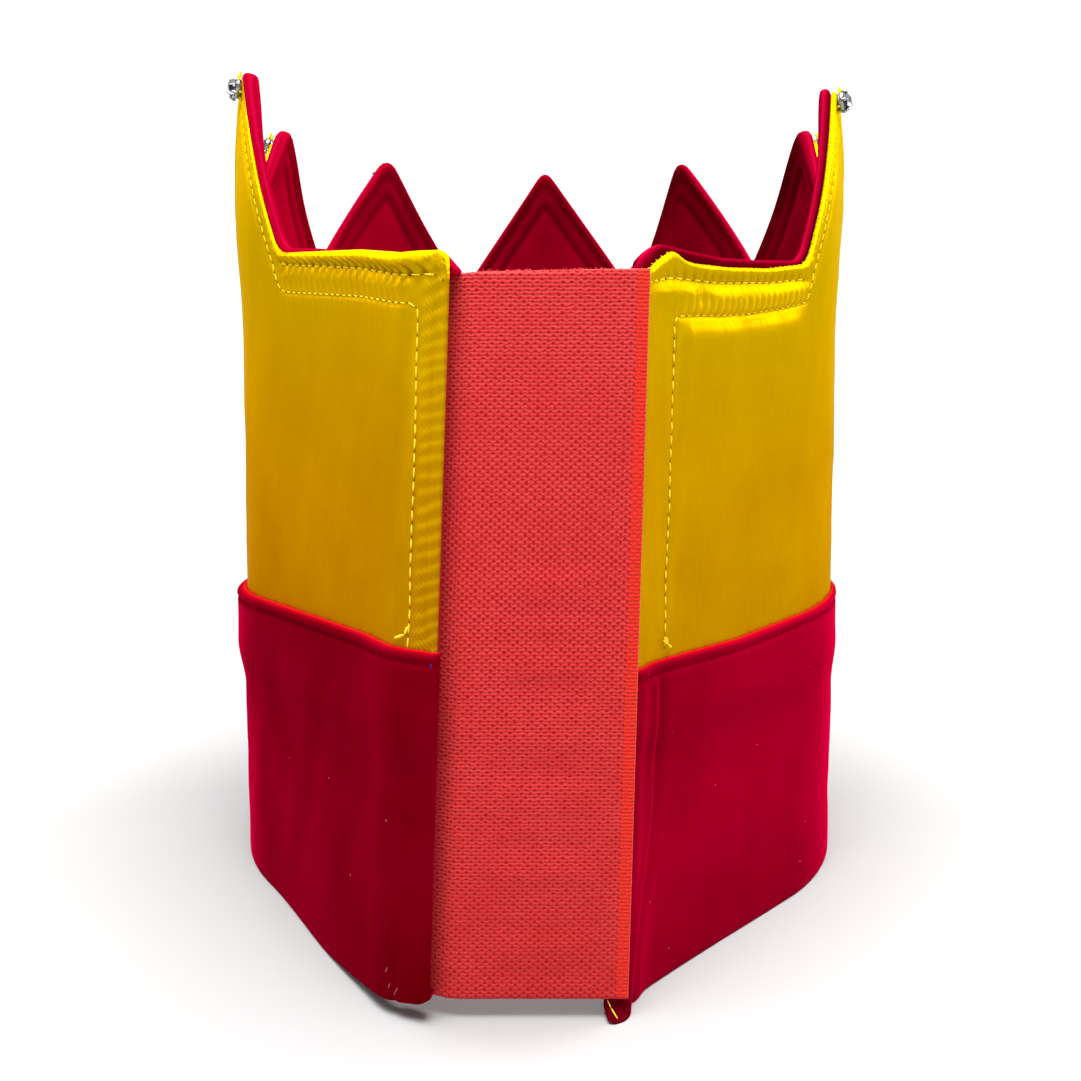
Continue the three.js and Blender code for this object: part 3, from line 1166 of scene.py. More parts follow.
@dataclass(frozen=True)
class PanelRows:
    """How one back panel is sewn, with lengths from its end of the wall.

    The profile runs from the edge (0) to the upper row (1), the lower row (2) and on.
    """

    fade: Span
    upper_start: Span
    lower_start: Span
    strength: float
    profile: Table
    dents: tuple[tuple[Bell, Bell], ...] = ()


LEFT_ROWS = PanelRows(
    fade=(68.0, 78.0),
    upper_start=(0.0, 10.0),
    lower_start=(5.9, 15.9),
    strength=1.0,
    profile=(
        (0, 0.0), (0.08, 0.45), (0.45, 1.35), (0.78, -0.1), (1, -0.42), (1.45, 0.12), (2, -0.16),
        (2.3, 0.0), (3, 0),
    ),
)
RIGHT_ROWS = PanelRows(
    fade=(74.0, 84.0),
    upper_start=(2.0, 20.0),
    lower_start=(16.5, 26.5),
    strength=0.3,
    profile=(
        (0, 0.0), (0.1, 0.35), (0.35, 0.5), (1, -0.45), (1.1, -0.2), (1.36, 0.6), (1.62, 0.66),
        (1.86, 0.34), (2, -0.2), (2.08, 0.0), (2.3, 0.75), (2.6, 0.85), (3.6, 0),
    ),
    dents=(
        (Bell(0.5, 30.0, 3.0), Bell(1.0, 2.2, 1.6)),
        (Bell(-0.45, 29.0, 3.4), Bell(1.0, 7.8, 2.2)),
    ),
)


@dataclass
class SatinWall(ClothWall):
    """The outer wall of satin, with its puckered rows and folded edges."""

    bottom: float = 64.0
    shown_heights: Span = (78.0, 88.0)
    panel_lengths: Span = (80.0, 86.0)
    flank_length: float = 34.0
    column_steps: tuple[float, float, float] = (0.42, 0.9, 2.2)
    stitch_pitch: float = 2.95
    upper_pitch: float = 3.6
    bump_pitch: float = 3.1
    bump_slant: float = 0.45
    gather_pitch: float = 1.9
    wrap_share: float = 0.75
    settle_depth: float = 12.0
    least_gap: float = 2.0
    lower_from: Span = (1.2, 2.0)
    crest_sharpness: float = 1.6
    crest_sway: Sway = Sway(0.8, 0.29)
    puff_sway: Sway = Sway(0.3, 0.21, start=1.0)
    slots: Bell = Bell(-1.15, 1.1, 1.0)
    slot_slant: float = 0.9
    slot_sharpness: float = 4.0
    pouches: Bell = Bell(0.42, 1.2, 1.0)
    gathers: Bell = Bell(0.14, 1.0, 0.9)
    hanging: Bell = Bell(1.0, -1.7, 1.9)
    hanging_depth: Span = (0.52, 0.34)
    hanging_ends: Bell = Bell(0.07, 1.1, 0.8)
    row_groove: Bell = Bell(-0.25, 0.0, 0.5)
    pleat_depth: float = 0.13
    pleat_slant: float = 0.3
    pleat_reach: float = 3.2
    pleat_level: float = 0.75
    pleat_sway: Sway = Sway(0.45, 0.23, start=1.0)
    flank_profile: Table = ((0, 0), (1.2, 0.25), (4.7, -0.12), (6.4, 0.12), (10, 0))
    flank_sway: Sway = Sway(0.3, 0.4)
    end_roll: Bell = Bell(0.45, 1.5, 1.3)
    end_bumps: Bell = Bell(0.4, 1.5, 1.3)
    end_hollows: tuple[Bell, Bell] = (Bell(0.16, 4.278, 2.2), Bell(0.16, 3.72, 2.2))
    wrinkles: tuple[Sway, Sway] = (Sway(0.28, 0.11, 0.03), Sway(0.16, -0.05, 0.16, 3.0))
    wrinkle_drop: Span = (14.0, 28.0)

    def columns(self) -> Array:
        """Stations of the columns, close together on the two back panels.

        Returns:
            The stations.
        """
        plan = self.pattern.plan
        left = plan.from_end(Side.LEFT, self.panel_lengths[0])
        right = plan.from_end(Side.RIGHT, self.panel_lengths[1])
        fine, middling, coarse = self.column_steps
        return spaced(
            [
                (plan.left, left, fine),
                (left, left + self.flank_length, middling),
                (left + self.flank_length, right - self.flank_length, coarse),
                (right - self.flank_length, right, middling),
                (right, plan.right, fine),
            ]
        )

    def relief(self, station: Array, z: Array) -> Array:
        """How far the satin stands out from its plain face, in millimetres."""
        soft, puckers = self.layers(station, z)
        return soft + puckers

    def layers(self, station: Array, z: Array) -> tuple[Array, Array]:
        """The satin's relief in two parts.

        Args:
            station: stations of the points.
            z: their heights.

        Returns:
            The soft rolls and puffs, and the sharp puckers along the rows, in millimetres.
        """
        pattern = self.pattern
        from_left = station - pattern.plan.left
        from_right = pattern.plan.right - station
        left_lines = (pattern.left_upper, pattern.left_lower)
        right_lines = (pattern.right_upper, pattern.right_lower)
        main, run = pattern.main_row.nearest(station, z)
        high = self.row_groove.at(main) + self._ends(z, (from_left, from_right)) + self._slow(station, z)
        puckers = self._pleats(main, run)
        flank = np.ones(station.shape)
        panels = ((LEFT_ROWS, left_lines, from_left), (RIGHT_ROWS, right_lines, from_right))
        for rows, lines, near in panels:
            here = 1 - smoothstep(near, *rows.fade)
            soft, sharp = self._panel(station, z, near, lines, rows)
            high += here * soft
            puckers += here * sharp
            flank -= here
        high += flank * self._flank(station, z)
        shown = smoothstep(z, *self.shown_heights)
        return high * shown, puckers * shown

    def _panel(
        self,
        station: Array,
        z: Array,
        near: Array,
        lines: tuple[WallLine, WallLine],
        rows: PanelRows,
    ) -> tuple[Array, Array]:
        """Rolls and puffs between the rows of one back panel, with slanting puckers.

        Args:
            station: stations of the points.
            z: their heights.
            near: their distances from the panel's end of the wall.
            lines: the row just under the edge and the row below it.
            rows: how the panel is sewn.

        Returns:
            The rolls and puffs, and the puckers, in millimetres.
        """
        top = self.pattern.top(station)
        below = top - z
        first, second = (top - np.interp(station, line.station, line.height) for line in lines)
        second = np.maximum(second, first + self.least_gap)
        between = 1 + (below - first) / (second - first)
        beyond = 2 + (below - second) / self.settle_depth
        share = np.where(below < first, below / first, np.where(below < second, between, beyond))
        upper = smoothstep(near, *rows.upper_start)
        lower = smoothstep(near, *rows.lower_start)
        reach = upper + (lower - upper) * smoothstep(share, *self.lower_from)
        high = eased_table(share, rows.profile) * (1 + self.puff_sway.at(station)) * reach
        high += sum(across.at(near) * down.at(below) for across, down in rows.dents)
        above = np.maximum(first - below, 0)
        under = np.maximum(below - first, 0)
        slanted = self._crests(station - self.slot_slant * above, self.upper_pitch, self.slot_sharpness)
        bumps = self._crests(station, self.upper_pitch)
        sharp = rows.strength * upper * (below < first) * slanted * self.slots.at(above)
        sharp += rows.strength * upper * (below > first) * bumps * self.pouches.at(under)
        sharp += self._crests(station, self.gather_pitch) * self.gathers.at(below)
        hanging = self._crests(station, self.stitch_pitch) * lower
        most, lost = self.hanging_depth
        sharp += (most - lost * rows.strength) * hanging * self.hanging.at(below - second)
        return high, sharp + hanging * self.hanging_ends.at(below - second)

    def _flank(self, station: Array, z: Array) -> Array:
        """The rolled edge of the points and the groove of their row."""
        edge, run = self.pattern.edge.nearest(station, z)
        return eased_table(edge, self.flank_profile) * (1 + self.flank_sway.at(run))

    def _crests(self, run: Array, pitch: float, sharpness: float | None = None) -> Array:
        """Crests along a run, not quite even."""
        phase = math.tau * run / pitch + self.crest_sway.at(run)
        return (0.5 + 0.5 * np.cos(phase)) ** (sharpness or self.crest_sharpness)

    def _pleats(self, away: Array, run: Array) -> Array:
        """Puckers that fan out from the main row.

        Args:
            away: distances from the row.
            run: lengths along it.

        Returns:
            The puckers in millimetres.
        """
        depth = self.pleat_depth * (self.pleat_level + self.pleat_sway.at(run))
        crests = self._crests(run + self.pleat_slant * away, self.stitch_pitch)
        return depth * crests * np.exp(-away / self.pleat_reach)

    def _slow(self, station: Array, z: Array) -> Array:
        """Long soft wrinkles of the wall."""
        slow = sum(wrinkle.at(station, z) for wrinkle in self.wrinkles)
        return slow * smoothstep(self.pattern.top(station) - z, *self.wrinkle_drop)

    def _ends(self, z: Array, from_ends: tuple[Array, Array]) -> Array:
        """The folded ends: a corded edge with bumps along it, and hollows to the end row.

        Args:
            z: heights of the points.
            from_ends: their distances from the left and the right end of the wall.

        Returns:
            The relief in millimetres.
        """
        high = np.zeros(z.shape)
        for near, hollow in zip(from_ends, self.end_hollows):
            bumps = self._crests(z + self.bump_slant * near, self.bump_pitch)
            high += self.end_roll.at(near) + (self.end_bumps.at(near) + hollow.at(near)) * bumps
        return high

    def build(self, finish: SatinFinish) -> Piece:
        """Makes the wall and sets it in the place of its solid.

        Args:
            finish: the satin.

        Returns:
            The wall.
        """
        plan = self.pattern.plan
        stations = self.columns()
        drop, fall, offset, face = self.rows(0.0)

        def place(column: Array, row: Array) -> tuple[Array, ...]:
            """Points of the wall.

            Args:
                column: their columns.
                row: their rows.

            Returns:
                The points and the values of KEPT.
            """
            station = stations[column]
            upper = self.pattern.top(station) - drop[row]
            z = upper + (self.bottom - upper) * fall[row]
            share = self.end_share(station, plan.left, plan.right)
            middle = -self.thickness / 2
            soft, puckers = self.layers(station, z)
            raised = np.clip(face[row], 0, 1) * (soft + puckers)
            wrapped = self.wrap_share * self.pattern.wrap(Side.LEFT, station, z)
            thinned = np.clip(-face[row], 0, 1) * wrapped
            out = middle + (offset[row] - middle + raised + thinned) * share
            return plan.place(station, out, z), station, z, self.pattern.top(station) - z, puckers

        piece = wrapped_strip("satin_wall", len(stations), len(drop), place)
        dress(piece, finish.material())
        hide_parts("satin_shell")
        area = area_under(stations, self.pattern.top(stations) - self.bottom)
        return piece


@dataclass(frozen=True)
class HemEase:
    """How the velvet's hem is eased up towards the left end of the wall."""

    height: float = 4.2
    span: float = 46.0
    power: float = 1.3
    fade_height: float = 40.0

    def lift(self, plan: CrownPlan, station: Array, z: Array) -> Array:
        """How far points at stations and heights are lifted."""
        near = np.clip(1 - (station - plan.left) / self.span, 0, 1)
        return self.height * near**self.power * np.clip(1 - z / self.fade_height, 0, 1)


@dataclass
class VelvetLining(ClothWall):
    """The velvet inside, rolled over a little above the satin's edge."""

    outer: float = -1.8
    bottom: float = 2.1
    top_thickness: float = 3.0
    setback: float = 1.2
    end_lengths: Span = (12.0, 26.0)
    column_steps: Span = (0.5, 1.3)
    ridge: Bell = Bell(0.4, 4.5, 2.6)
    ridge_sway: Sway = Sway(0.2, 0.12)
    groove: Bell = Bell(-0.65, 0.0, 1.3)
    inner_puff: float = 0.6
    puff_depth: Span = (7.0, 15.0)
    slow: Sway = Sway(0.25, 0.12, 0.05)
    slow_depth: Span = (12.0, 30.0)
    tip_pad: float = 1.3
    tip_heights: Span = (192.0, 214.0)
    thinner: float = 0.85
    tongue: float = 2.2
    tongue_foot: float = 155.9
    tongue_rise: Span = (-0.5, 0.3)
    tongue_length: float = 9.0
    tongue_inset: float = 3.0
    tongue_taper: float = 0.2
    hem_ease: HemEase = HemEase()
    rise_table: Table = (
        (0, 1.0), (7, 2.1), (15, 1.8), (26, 1.4), (60, 0.9), (84, 0.9), (140, 1.6), (430, 1.6),
        (482, 1.3), (500, 0.9), (515, 0.1), (558, 0.1),
    )

    def columns(self) -> Array:
        """Stations of the columns.

        Returns:
            The stations.
        """
        plan = self.pattern.plan
        first = plan.left + self.setback
        last = plan.right - self.setback
        left = first + self.end_lengths[0]
        right = last - self.end_lengths[1]
        fine, coarse = self.column_steps
        return spaced([(first, left, fine), (left, right, coarse), (right, last, fine)])

    def relief(self, station: Array, z: Array) -> Array:
        """How far the inside stands in from its plain face.

        Args:
            station: stations of the points.
            z: their heights.

        Returns:
            The relief in millimetres.
        """
        edge, run = self.pattern.edge.nearest(station, z)
        away, _ = self.pattern.groove.nearest(station, z)
        border = self.ridge.at(edge) * (1 + self.ridge_sway.at(run))
        soft = self.slow.at(station, z) * smoothstep(edge, *self.slow_depth)
        puff = self.inner_puff * smoothstep(edge, *self.puff_depth)
        tips = self.tip_pad * smoothstep(z, *self.tip_heights)
        return border + self.groove.at(away) + puff + soft + tips

    def build(self, finish: VelvetFinish) -> Piece:
        """Makes the lining and sets it in the place of its solid.

        Args:
            finish: the velvet.

        Returns:
            The lining.
        """
        plan = self.pattern.plan
        stations = self.columns()
        drop, fall, offset, face = self.rows(self.outer)
        from_right, rises = np.array(self.rise_table).T

        def place(column: Array, row: Array) -> tuple[Array, ...]:
            """Points of the lining.

            Args:
                column: their columns.
                row: their rows.

            Returns:
                The points and the first values of KEPT.
            """
            station = stations[column]
            top = self.pattern.top(station) + np.interp(plan.right - station, from_right, rises)
            upper = top - drop[row]
            z = upper + (self.bottom - upper) * fall[row]
            z = z + self.hem_ease.lift(plan, station, z)
            share = self.end_share(station, stations[0], stations[-1])
            middle = self.outer - self.thickness / 2
            pressed = self.thinner * self.pattern.wrap(Side.RIGHT, station, z)
            raised = np.clip(-face[row], 0, 1) * (self.relief(station, z) - pressed)
            rolled = self.pattern.wrap(Side.LEFT, station, z)
            out = middle + (offset[row] - middle - raised) * share + rolled
            foot = self.tongue_foot
            near = 1 - smoothstep(station - stations[0], 0, self.tongue_length)
            moved = station - self.tongue * near * smoothstep(z - foot, *self.tongue_rise)
            outer = np.maximum(plan.left + self.tongue_inset - moved, 0)
            lowered = np.where(z > foot, foot + (z - foot) * (1 - self.tongue_taper * outer), z)
            return plan.place(moved, out, lowered), station, z, top - z

        piece = wrapped_strip("velvet_inside", len(stations), len(drop), place)
        dress(piece, finish.material())
        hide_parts("velvet_lining")
        area = area_under(stations, self.pattern.top(stations) - self.bottom)
        return piece


@dataclass
class VelvetBand:
    """The deep band of velvet, with a rolled top edge and a turned hem."""

    plan: CrownPlan
    inner: float = -1.5
    lining_inner: float = -3.3
    thickness: float = 2.0
    gap: float = 0.3
    reach: float = 0.9
    flare_start: float = 50.0
    flare_end: float = 62.5
    nominal_top: float = 78.0
    roll_height: float = 1.5
    roll_swell: float = 0.15
    roll_seat: float = 0.12
    hem: float = 1.8
    hem_round: float = 0.6
    hem_ease: HemEase = HemEase()
    turn_out: float = 5.0
    turn_height: float = 3.5
    turn_none: float = 6.0
    turn_full: float = 1.8
    toe_lift: float = 1.2
    toe_span: float = 3.2
    toe_height: float = 14.0
    end_round: float = 1.0
    end_least: float = 0.12
    fold_slant: float = 8.0
    fold_foot: float = 45.0
    stitch_pitch: float = 2.95
    panel_lengths: Span = (90.0, 96.0)
    column_steps: tuple[float, float, float] = (0.75, 2.4, 0.6)
    hem_steps: int = 4
    wall_rows: Span = (2.2, 2.6)
    flare_step: float = 1.6
    upper_step: float = 1.1
    upper_stop: float = 2.0
    groove_rows: tuple[float, float, int] = (-1.8, 0.5, 7)
    roll_steps: int = 8
    inner_levels: Span = (70.0, 25.0)
    inner_drop: float = 0.9
    stitch_sway: Sway = Sway(1.0, 0.2)
    row: Bell = Bell(-0.38, 2.7, 0.6)
    row_waves: float = 0.35
    pleat_depth: float = 0.1
    pleat_slant: float = 1.2
    pleat_reach: float = 2.2
    wrinkles: tuple[Sway, Sway] = (Sway(0.4, 0.075, 0.03), Sway(0.2, -0.04, 0.12, 2.0))
    wrinkle_drop: Span = (4.0, 16.0)
    wrinkle_heights: Span = (3.0, 18.0)
    seam: tuple[Bell, ...] = (Bell(-0.4, 7.4, 0.6), Bell(0.18, 5.4, 1.3), Bell(0.15, 9.4, 1.3))
    fold: tuple[Bell, ...] = (Bell(-0.5, 15.5, 0.9), Bell(0.6, 12.6, 1.4), Bell(0.25, 18.6, 1.8))
    seam_drop: Span = (2.5, 5.0)
    top_table: tuple[Place, ...] = (
        (-182, 79.2, 0.5), (-165, 80, 0.8), (-145, 79.3, 1), (-100, 77.6, 1.25), (0, 78, 1),
        (100, 78, 0.6), (150, 74, 0.7), (175, 74.3, 0.5), (182, 74.5, 0.5),
    )

    def columns(self) -> Array:
        """Stations of the columns, close together on the back panels.

        Returns:
            The stations.
        """
        first = self.plan.left - self.reach
        left = first + self.panel_lengths[0]
        right = self.plan.right - self.panel_lengths[1]
        on_left, between, on_right = self.column_steps
        return spaced([(first, left, on_left), (left, right, between), (right, self.plan.right, on_right)])

    def top(self, station: Array) -> tuple[Array, Array]:
        """The band's top edge.

        Args:
            station: where it is read.

        Returns:
            Heights of the edge, and shares of its thickness that the roll keeps.
        """
        angles, heights, stands = np.array(self.top_table).T
        stations = self.plan.station_of(angles)
        return np.interp(station, stations, heights), np.interp(station, stations, stands)

    def rows(self) -> tuple[Array, Array, Array]:
        """The band's section from the hem up the outside, over the roll and down the inside.

        Returns:
            For each row its offset, its height on the nominal band, and whether it is outside.
        """
        outer = self.inner + self.thickness
        rolled = self.gap + self.thickness
        turn = np.linspace(0, math.pi / 2, self.hem_steps)
        curve = self.hem_round
        hem = [(outer - curve * (1 - math.sin(t)), curve * (1 - math.cos(t)), 1) for t in turn]
        lowest, step = self.wall_rows
        wall = [(outer, z, 1) for z in np.arange(lowest, self.flare_start, step)]
        rise = np.arange(self.flare_start, self.flare_end, self.flare_step)
        eased = smoothstep(rise, self.flare_start, self.flare_end)
        flare = [(outer + (rolled - outer) * e, z, 1) for e, z in zip(eased, rise)]
        top = self.nominal_top
        row = top - self.row.middle
        upper = [(rolled, z, 1) for z in np.arange(self.flare_end, row - self.upper_stop, self.upper_step)]
        groove = [(rolled, row + lift, 1) for lift in np.linspace(*self.groove_rows)]
        turns = np.linspace(0, math.pi / 2, self.roll_steps)
        reach = rolled + self.roll_swell - self.roll_seat
        heights = top - self.roll_height * (1 - np.sin(turns))
        roll = [(self.roll_seat + reach * c, z, 1) for c, z in zip(np.cos(turns), heights)]
        inside = [
            (self.gap, top - self.inner_drop, 0),
            (self.gap, self.inner_levels[0], 0),
            (self.gap, self.flare_end, 0),
            (self.inner, self.flare_start, 0),
            (self.inner, self.inner_levels[1], 0),
            (self.inner, self.turn_height, 0),
            (self.inner, self.hem, 0),
            (self.lining_inner, self.hem, 0),
            (self.lining_inner, self.hem_round, 0),
            (self.lining_inner + self.hem_round, 0.0, 0),
        ]
        section = np.array([*hem, *wall, *flare, *upper, *groove, *roll, *inside, hem[0]])
        return section[:, 0], section[:, 1], section[:, 2]

    def relief(self, station: Array, z: Array, top: Array) -> Array:
        """How far the band's outside stands out from its plain face.

        Args:
            station: stations of the points.
            z: their heights.
            top: heights of the top edge above them.

        Returns:
            The relief in millimetres.
        """
        below = top - z
        phase = math.tau * station / self.stitch_pitch + self.stitch_sway.at(station)
        row = self.row.at(below) * (1 + self.row_waves * np.cos(phase))
        crests = 0.5 + 0.5 * np.cos(phase + self.pleat_slant * below)
        pleats = self.pleat_depth * crests * np.exp(-np.abs(below - self.row.middle) / self.pleat_reach)
        slow = sum(wrinkle.at(station, z) for wrinkle in self.wrinkles)
        slow *= smoothstep(below, *self.wrinkle_drop) * smoothstep(z, *self.wrinkle_heights)
        left = station - self.plan.left
        right = self.plan.right - station + self.fold_slant * (1 - smoothstep(z, 0, self.fold_foot))
        sewn = sum(bell.at(left) for bell in self.seam) + sum(bell.at(right) for bell in self.fold)
        return row + pleats + slow + sewn * smoothstep(below, *self.seam_drop)

    def face(self, station: Array, z: Array) -> Array:
        """Offset of the band's outside.

        Args:
            station: stations of the points.
            z: their heights.

        Returns:
            The offsets in millimetres.
        """
        edge, stand = self.top(station)
        plain = self.inner + self.thickness
        rolled = self.gap + self.thickness * stand
        rise = smoothstep(z, self.flare_start, self.flare_end)
        return plain + rise * (rolled - plain) + self.relief(station, z, edge)

    def build(self, finish: VelvetFinish) -> Piece:
        """Makes the band and sets it in the place of its solid.

        Args:
            finish: the velvet.

        Returns:
            The band.
        """
        plan = self.plan
        stations = self.columns()
        offsets, levels, outside = self.rows()
        rolled = self.gap + self.thickness

        def place(column: Array, row: Array) -> tuple[Array, ...]:
            """Points of the band.

            Args:
                column: their columns.
                row: their rows.

            Returns:
                The points and the first values of KEPT.
            """
            station = stations[column]
            level = levels[row]
            edge, stand = self.top(station)
            upper = (level - self.flare_end) / (self.nominal_top - self.flare_end)
            z = np.where(level > self.flare_end, self.flare_end + (edge - self.flare_end) * upper, level)
            pressed = self.gap + (offsets[row] - self.gap) * stand
            lower_outer = self.inner + self.thickness
            share = smoothstep(level, self.flare_start, self.flare_end)
            blended = lower_outer + (self.gap + (rolled - self.gap) * stand - lower_outer) * share
            out = np.where(level > self.flare_end, pressed, offsets[row])
            on_flare = (outside[row] > 0) & (level >= self.flare_start) & (level <= self.flare_end)
            out = np.where(on_flare, blended, out)
            near = 1 - smoothstep(plan.right - station, self.turn_full, self.turn_none)
            out = out + self.turn_out * near * np.clip(1 - level / self.turn_height, 0, 1)
            out = out + outside[row] * self.relief(station, z, edge)
            ends = np.minimum(station - stations[0], stations[-1] - station)
            full = np.maximum(rounded_share(ends, self.end_round), self.end_least)
            middle = (self.inner + lower_outer) / 2
            toe = np.clip(1 - ends / self.toe_span, 0, 1) ** 2 * np.clip(1 - z / self.toe_height, 0, 1)
            z = z + self.hem_ease.lift(plan, station, z) + self.toe_lift * toe
            return plan.place(station, middle + (out - middle) * full, z), station, z, edge - z

        piece = wrapped_strip("velvet_cuff", len(stations), len(levels), place)
        close_ends(piece)
        dress(piece, finish.material())
        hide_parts("velvet_band")
        edge, _ = self.top(stations)
        return piece


def close_ends(piece: Piece) -> None:
    """Fills the open ends of a strip and turns all faces outwards.

    Args:
        piece: the strip.
    """
    bm = bmesh.new()
    bm.from_mesh(piece.data)
    rim = [edge for edge in bm.edges if edge.is_boundary]
    bmesh.ops.holes_fill(bm, edges=rim, sides=0)
    bmesh.ops.recalc_face_normals(bm, faces=bm.faces)
    bm.to_mesh(piece.data)
    bm.free()


@dataclass
class HookTape:
    """The wide woven tape that bridges the closure."""

    plan: CrownPlan
    path: tuple[Place, ...] = (
        (20.7, -117.7, 157.3), (12, -117.7, 157.2), (-13.5, -117.7, 156.7), (-16.4, -117.5, 156.6),
        (-19.2, -116.2, 156.5), (-26.3, -112.6, 156.5),
    )
    thickness: float = 1.2
    bottom: float = 4.3
    edge_columns: Span = (2.0, 0.2)
    column_step: float = 0.8
    row_step: float = 1.5
    foot_rows: tuple[float, ...] = (0.0, 0.002, 0.005)
    middle_rows: Span = (0.01, 0.99)
    head_rows: tuple[float, ...] = (0.995, 0.998, 1.0)
    edge_round: float = 0.6
    probe: float = 1.0
    wave: Sway = Sway(0.22, 0.42, start=1.0)
    wave_start: Span = (5.0, 14.0)
    wave_end: Span = (24.0, 33.0)
    wave_heights: Span = (80.0, 130.0)

    def __post_init__(self) -> None:
        """Works out the running length along the path."""
        self.xs, self.ys, self.tops = np.array(self.path).T
        self.runs = running_length(self.xs, self.ys)

    def on_path(self, values: Array, run: Array) -> Array:
        """Values of the path at running lengths."""
        return np.interp(run, self.runs, values)

    def build(self, finish: TapeFinish) -> Piece:
        """Makes the tape and sets it in the place of its solid.

        Args:
            finish: the woven yarn.

        Returns:
            The tape.
        """
        width = self.runs[-1]
        edge, fine = self.edge_columns
        columns = spaced([(0.0, edge, fine), (edge, width, self.column_step)])
        tall = self.tops.max() - self.bottom
        middle_rows = np.linspace(*self.middle_rows, round(tall / self.row_step))
        ups = np.concatenate([self.foot_rows, middle_rows, self.head_rows])
        level = np.concatenate([ups, ups[::-1], ups[:1]])
        face = np.concatenate([np.zeros(len(ups)), np.ones(len(ups)), [0.0]])

        def place(column: Array, row: Array) -> tuple[Array, ...]:
            """Points of the tape.

            Args:
                column: their columns.
                row: their rows.

            Returns:
                The points and the first values of KEPT.
            """
            run = columns[column]
            ahead = np.minimum(run + self.probe, width)
            behind = np.maximum(run - self.probe, 0)
            dx = self.on_path(self.xs, ahead) - self.on_path(self.xs, behind)
            dy = self.on_path(self.ys, ahead) - self.on_path(self.ys, behind)
            top = self.on_path(self.tops, run)
            z = self.bottom + (top - self.bottom) * level[row]
            to_end = tall * np.minimum(level[row], 1 - level[row])
            full = rounded_share(np.minimum(np.minimum(run, width - run), to_end), self.edge_round)
            across = -self.thickness / 2 + self.thickness * (0.5 - face[row]) * full
            waving = smoothstep(run, *self.wave_start) * (1 - smoothstep(run, *self.wave_end))
            across = across + self.wave.at(z) * waving * (1 - smoothstep(z, *self.wave_heights))
            out = across / np.hypot(dx, dy)
            x = self.on_path(self.xs, run) - dy * out
            y = self.on_path(self.ys, run) + dx * out
            return self.plan.settle(x, y, z), run, z, top - z

        piece = wrapped_strip("woven_tape", len(columns), len(level), place)
        dress(piece, finish.material())
        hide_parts("hook_tape")
        return piece


def scattered(name: str, shape: bmesh.types.BMesh, places: Sequence[Matrix]) -> Piece:
    """One piece made of many copies of a small shape.

    Args:
        name: the piece's name.
        shape: the small shape, which is freed.
        places: where each copy goes.

    Returns:
        The joined copies.
    """
    corners = np.array([[*vert.co, 1.0] for vert in shape.verts])
    sides = [[vert.index for vert in face.verts] for face in shape.faces]
    shape.free()
    moved = np.einsum("nij,vj->nvi", np.array(places), corners)[..., :3]
    count = len(corners)
    faces = [[k * count + corner for corner in side] for k in range(len(places)) for side in sides]
    mesh = bpy.data.meshes.new(name)
    mesh.from_pydata(moved.reshape(-1, 3).tolist(), [], faces)
    mesh.shade_smooth()
    piece = bpy.data.objects.new(name, mesh)
    bpy.context.scene.collection.objects.link(piece)
    return piece


@dataclass
class Stitching:
    """Stitches laid along lines of the wall, joined in one piece."""

    plan: CrownPlan
    pitch: float = 2.95
    gap: float = 0.85
    width: float = 0.39
    height: float = 0.4
    sides: int = 8
    rings: int = 6

    def stitch(self, start: Vector, end: Vector, outward: Vector, share: float = 1.0) -> Matrix:
        """Place of one rounded stitch.

        Args:
            start: one end.
            end: the other end.
            outward: which way the cloth faces there.
            share: share of the full thickness.

        Returns:
            The matrix that sets a ball of radius 1 as the stitch.
        """
        along = end - start
        across = outward.cross(along).normalized()
        normal = along.cross(across).normalized()
        turn = Matrix((along.normalized(), across, normal)).transposed().to_4x4()
        half = share * MM / 2
        size = Matrix.Diagonal((along.length / 2, self.width * half, self.height * half, 1.0))
        return Matrix.Translation((start + end) / 2) @ turn @ size

    def between(self, first: Array, last: Array, beyond: Array, share: float = 1.0) -> list[Matrix]:
        """Places of stitches between two rows of points, given points outside the first row."""
        ends = zip(first, last, beyond)
        return [self.stitch(Vector(a), Vector(b), Vector(c - a), share) for a, b, c in ends]

    def along(
        self,
        line: WallLine,
        offset: Callable[[Array, Array], Array],
        pitch: float,
        tilt: float = 0.0,
    ) -> list[Matrix]:
        """Places of a row of stitches along a line.

        Args:
            line: where the stitches lie.
            offset: offset of their middles at stations and heights.
            pitch: length of line that each stitch takes.
            tilt: how far each stitch's far end sits above the line, in millimetres.

        Returns:
            One place for each stitch.
        """
        count = int(line.length // pitch)
        starts = np.arange(count) * pitch + self.gap / 2
        near = line.at(starts)
        far = line.at(starts + pitch - self.gap)
        first = self.plan.place(near[0], offset(*near), near[1])
        last = self.plan.place(far[0], offset(*far), far[1] + tilt)
        return self.between(first, last, self.plan.place(near[0], offset(*near) + 1, near[1]))

    def sewn(self, name: str, places: Sequence[Matrix], finish: ThreadFinish, slot: str) -> Piece:
        """All the stitches as one dressed piece.

        Args:
            name: the piece's name.
            places: where each stitch goes.
            finish: the thread.
            slot: not used.

        Returns:
            The piece.
        """
        bm = bmesh.new()
        bmesh.ops.create_uvsphere(bm, u_segments=self.sides, v_segments=self.rings, radius=1.0)
        return dress(scattered(name, bm, places), finish.material())


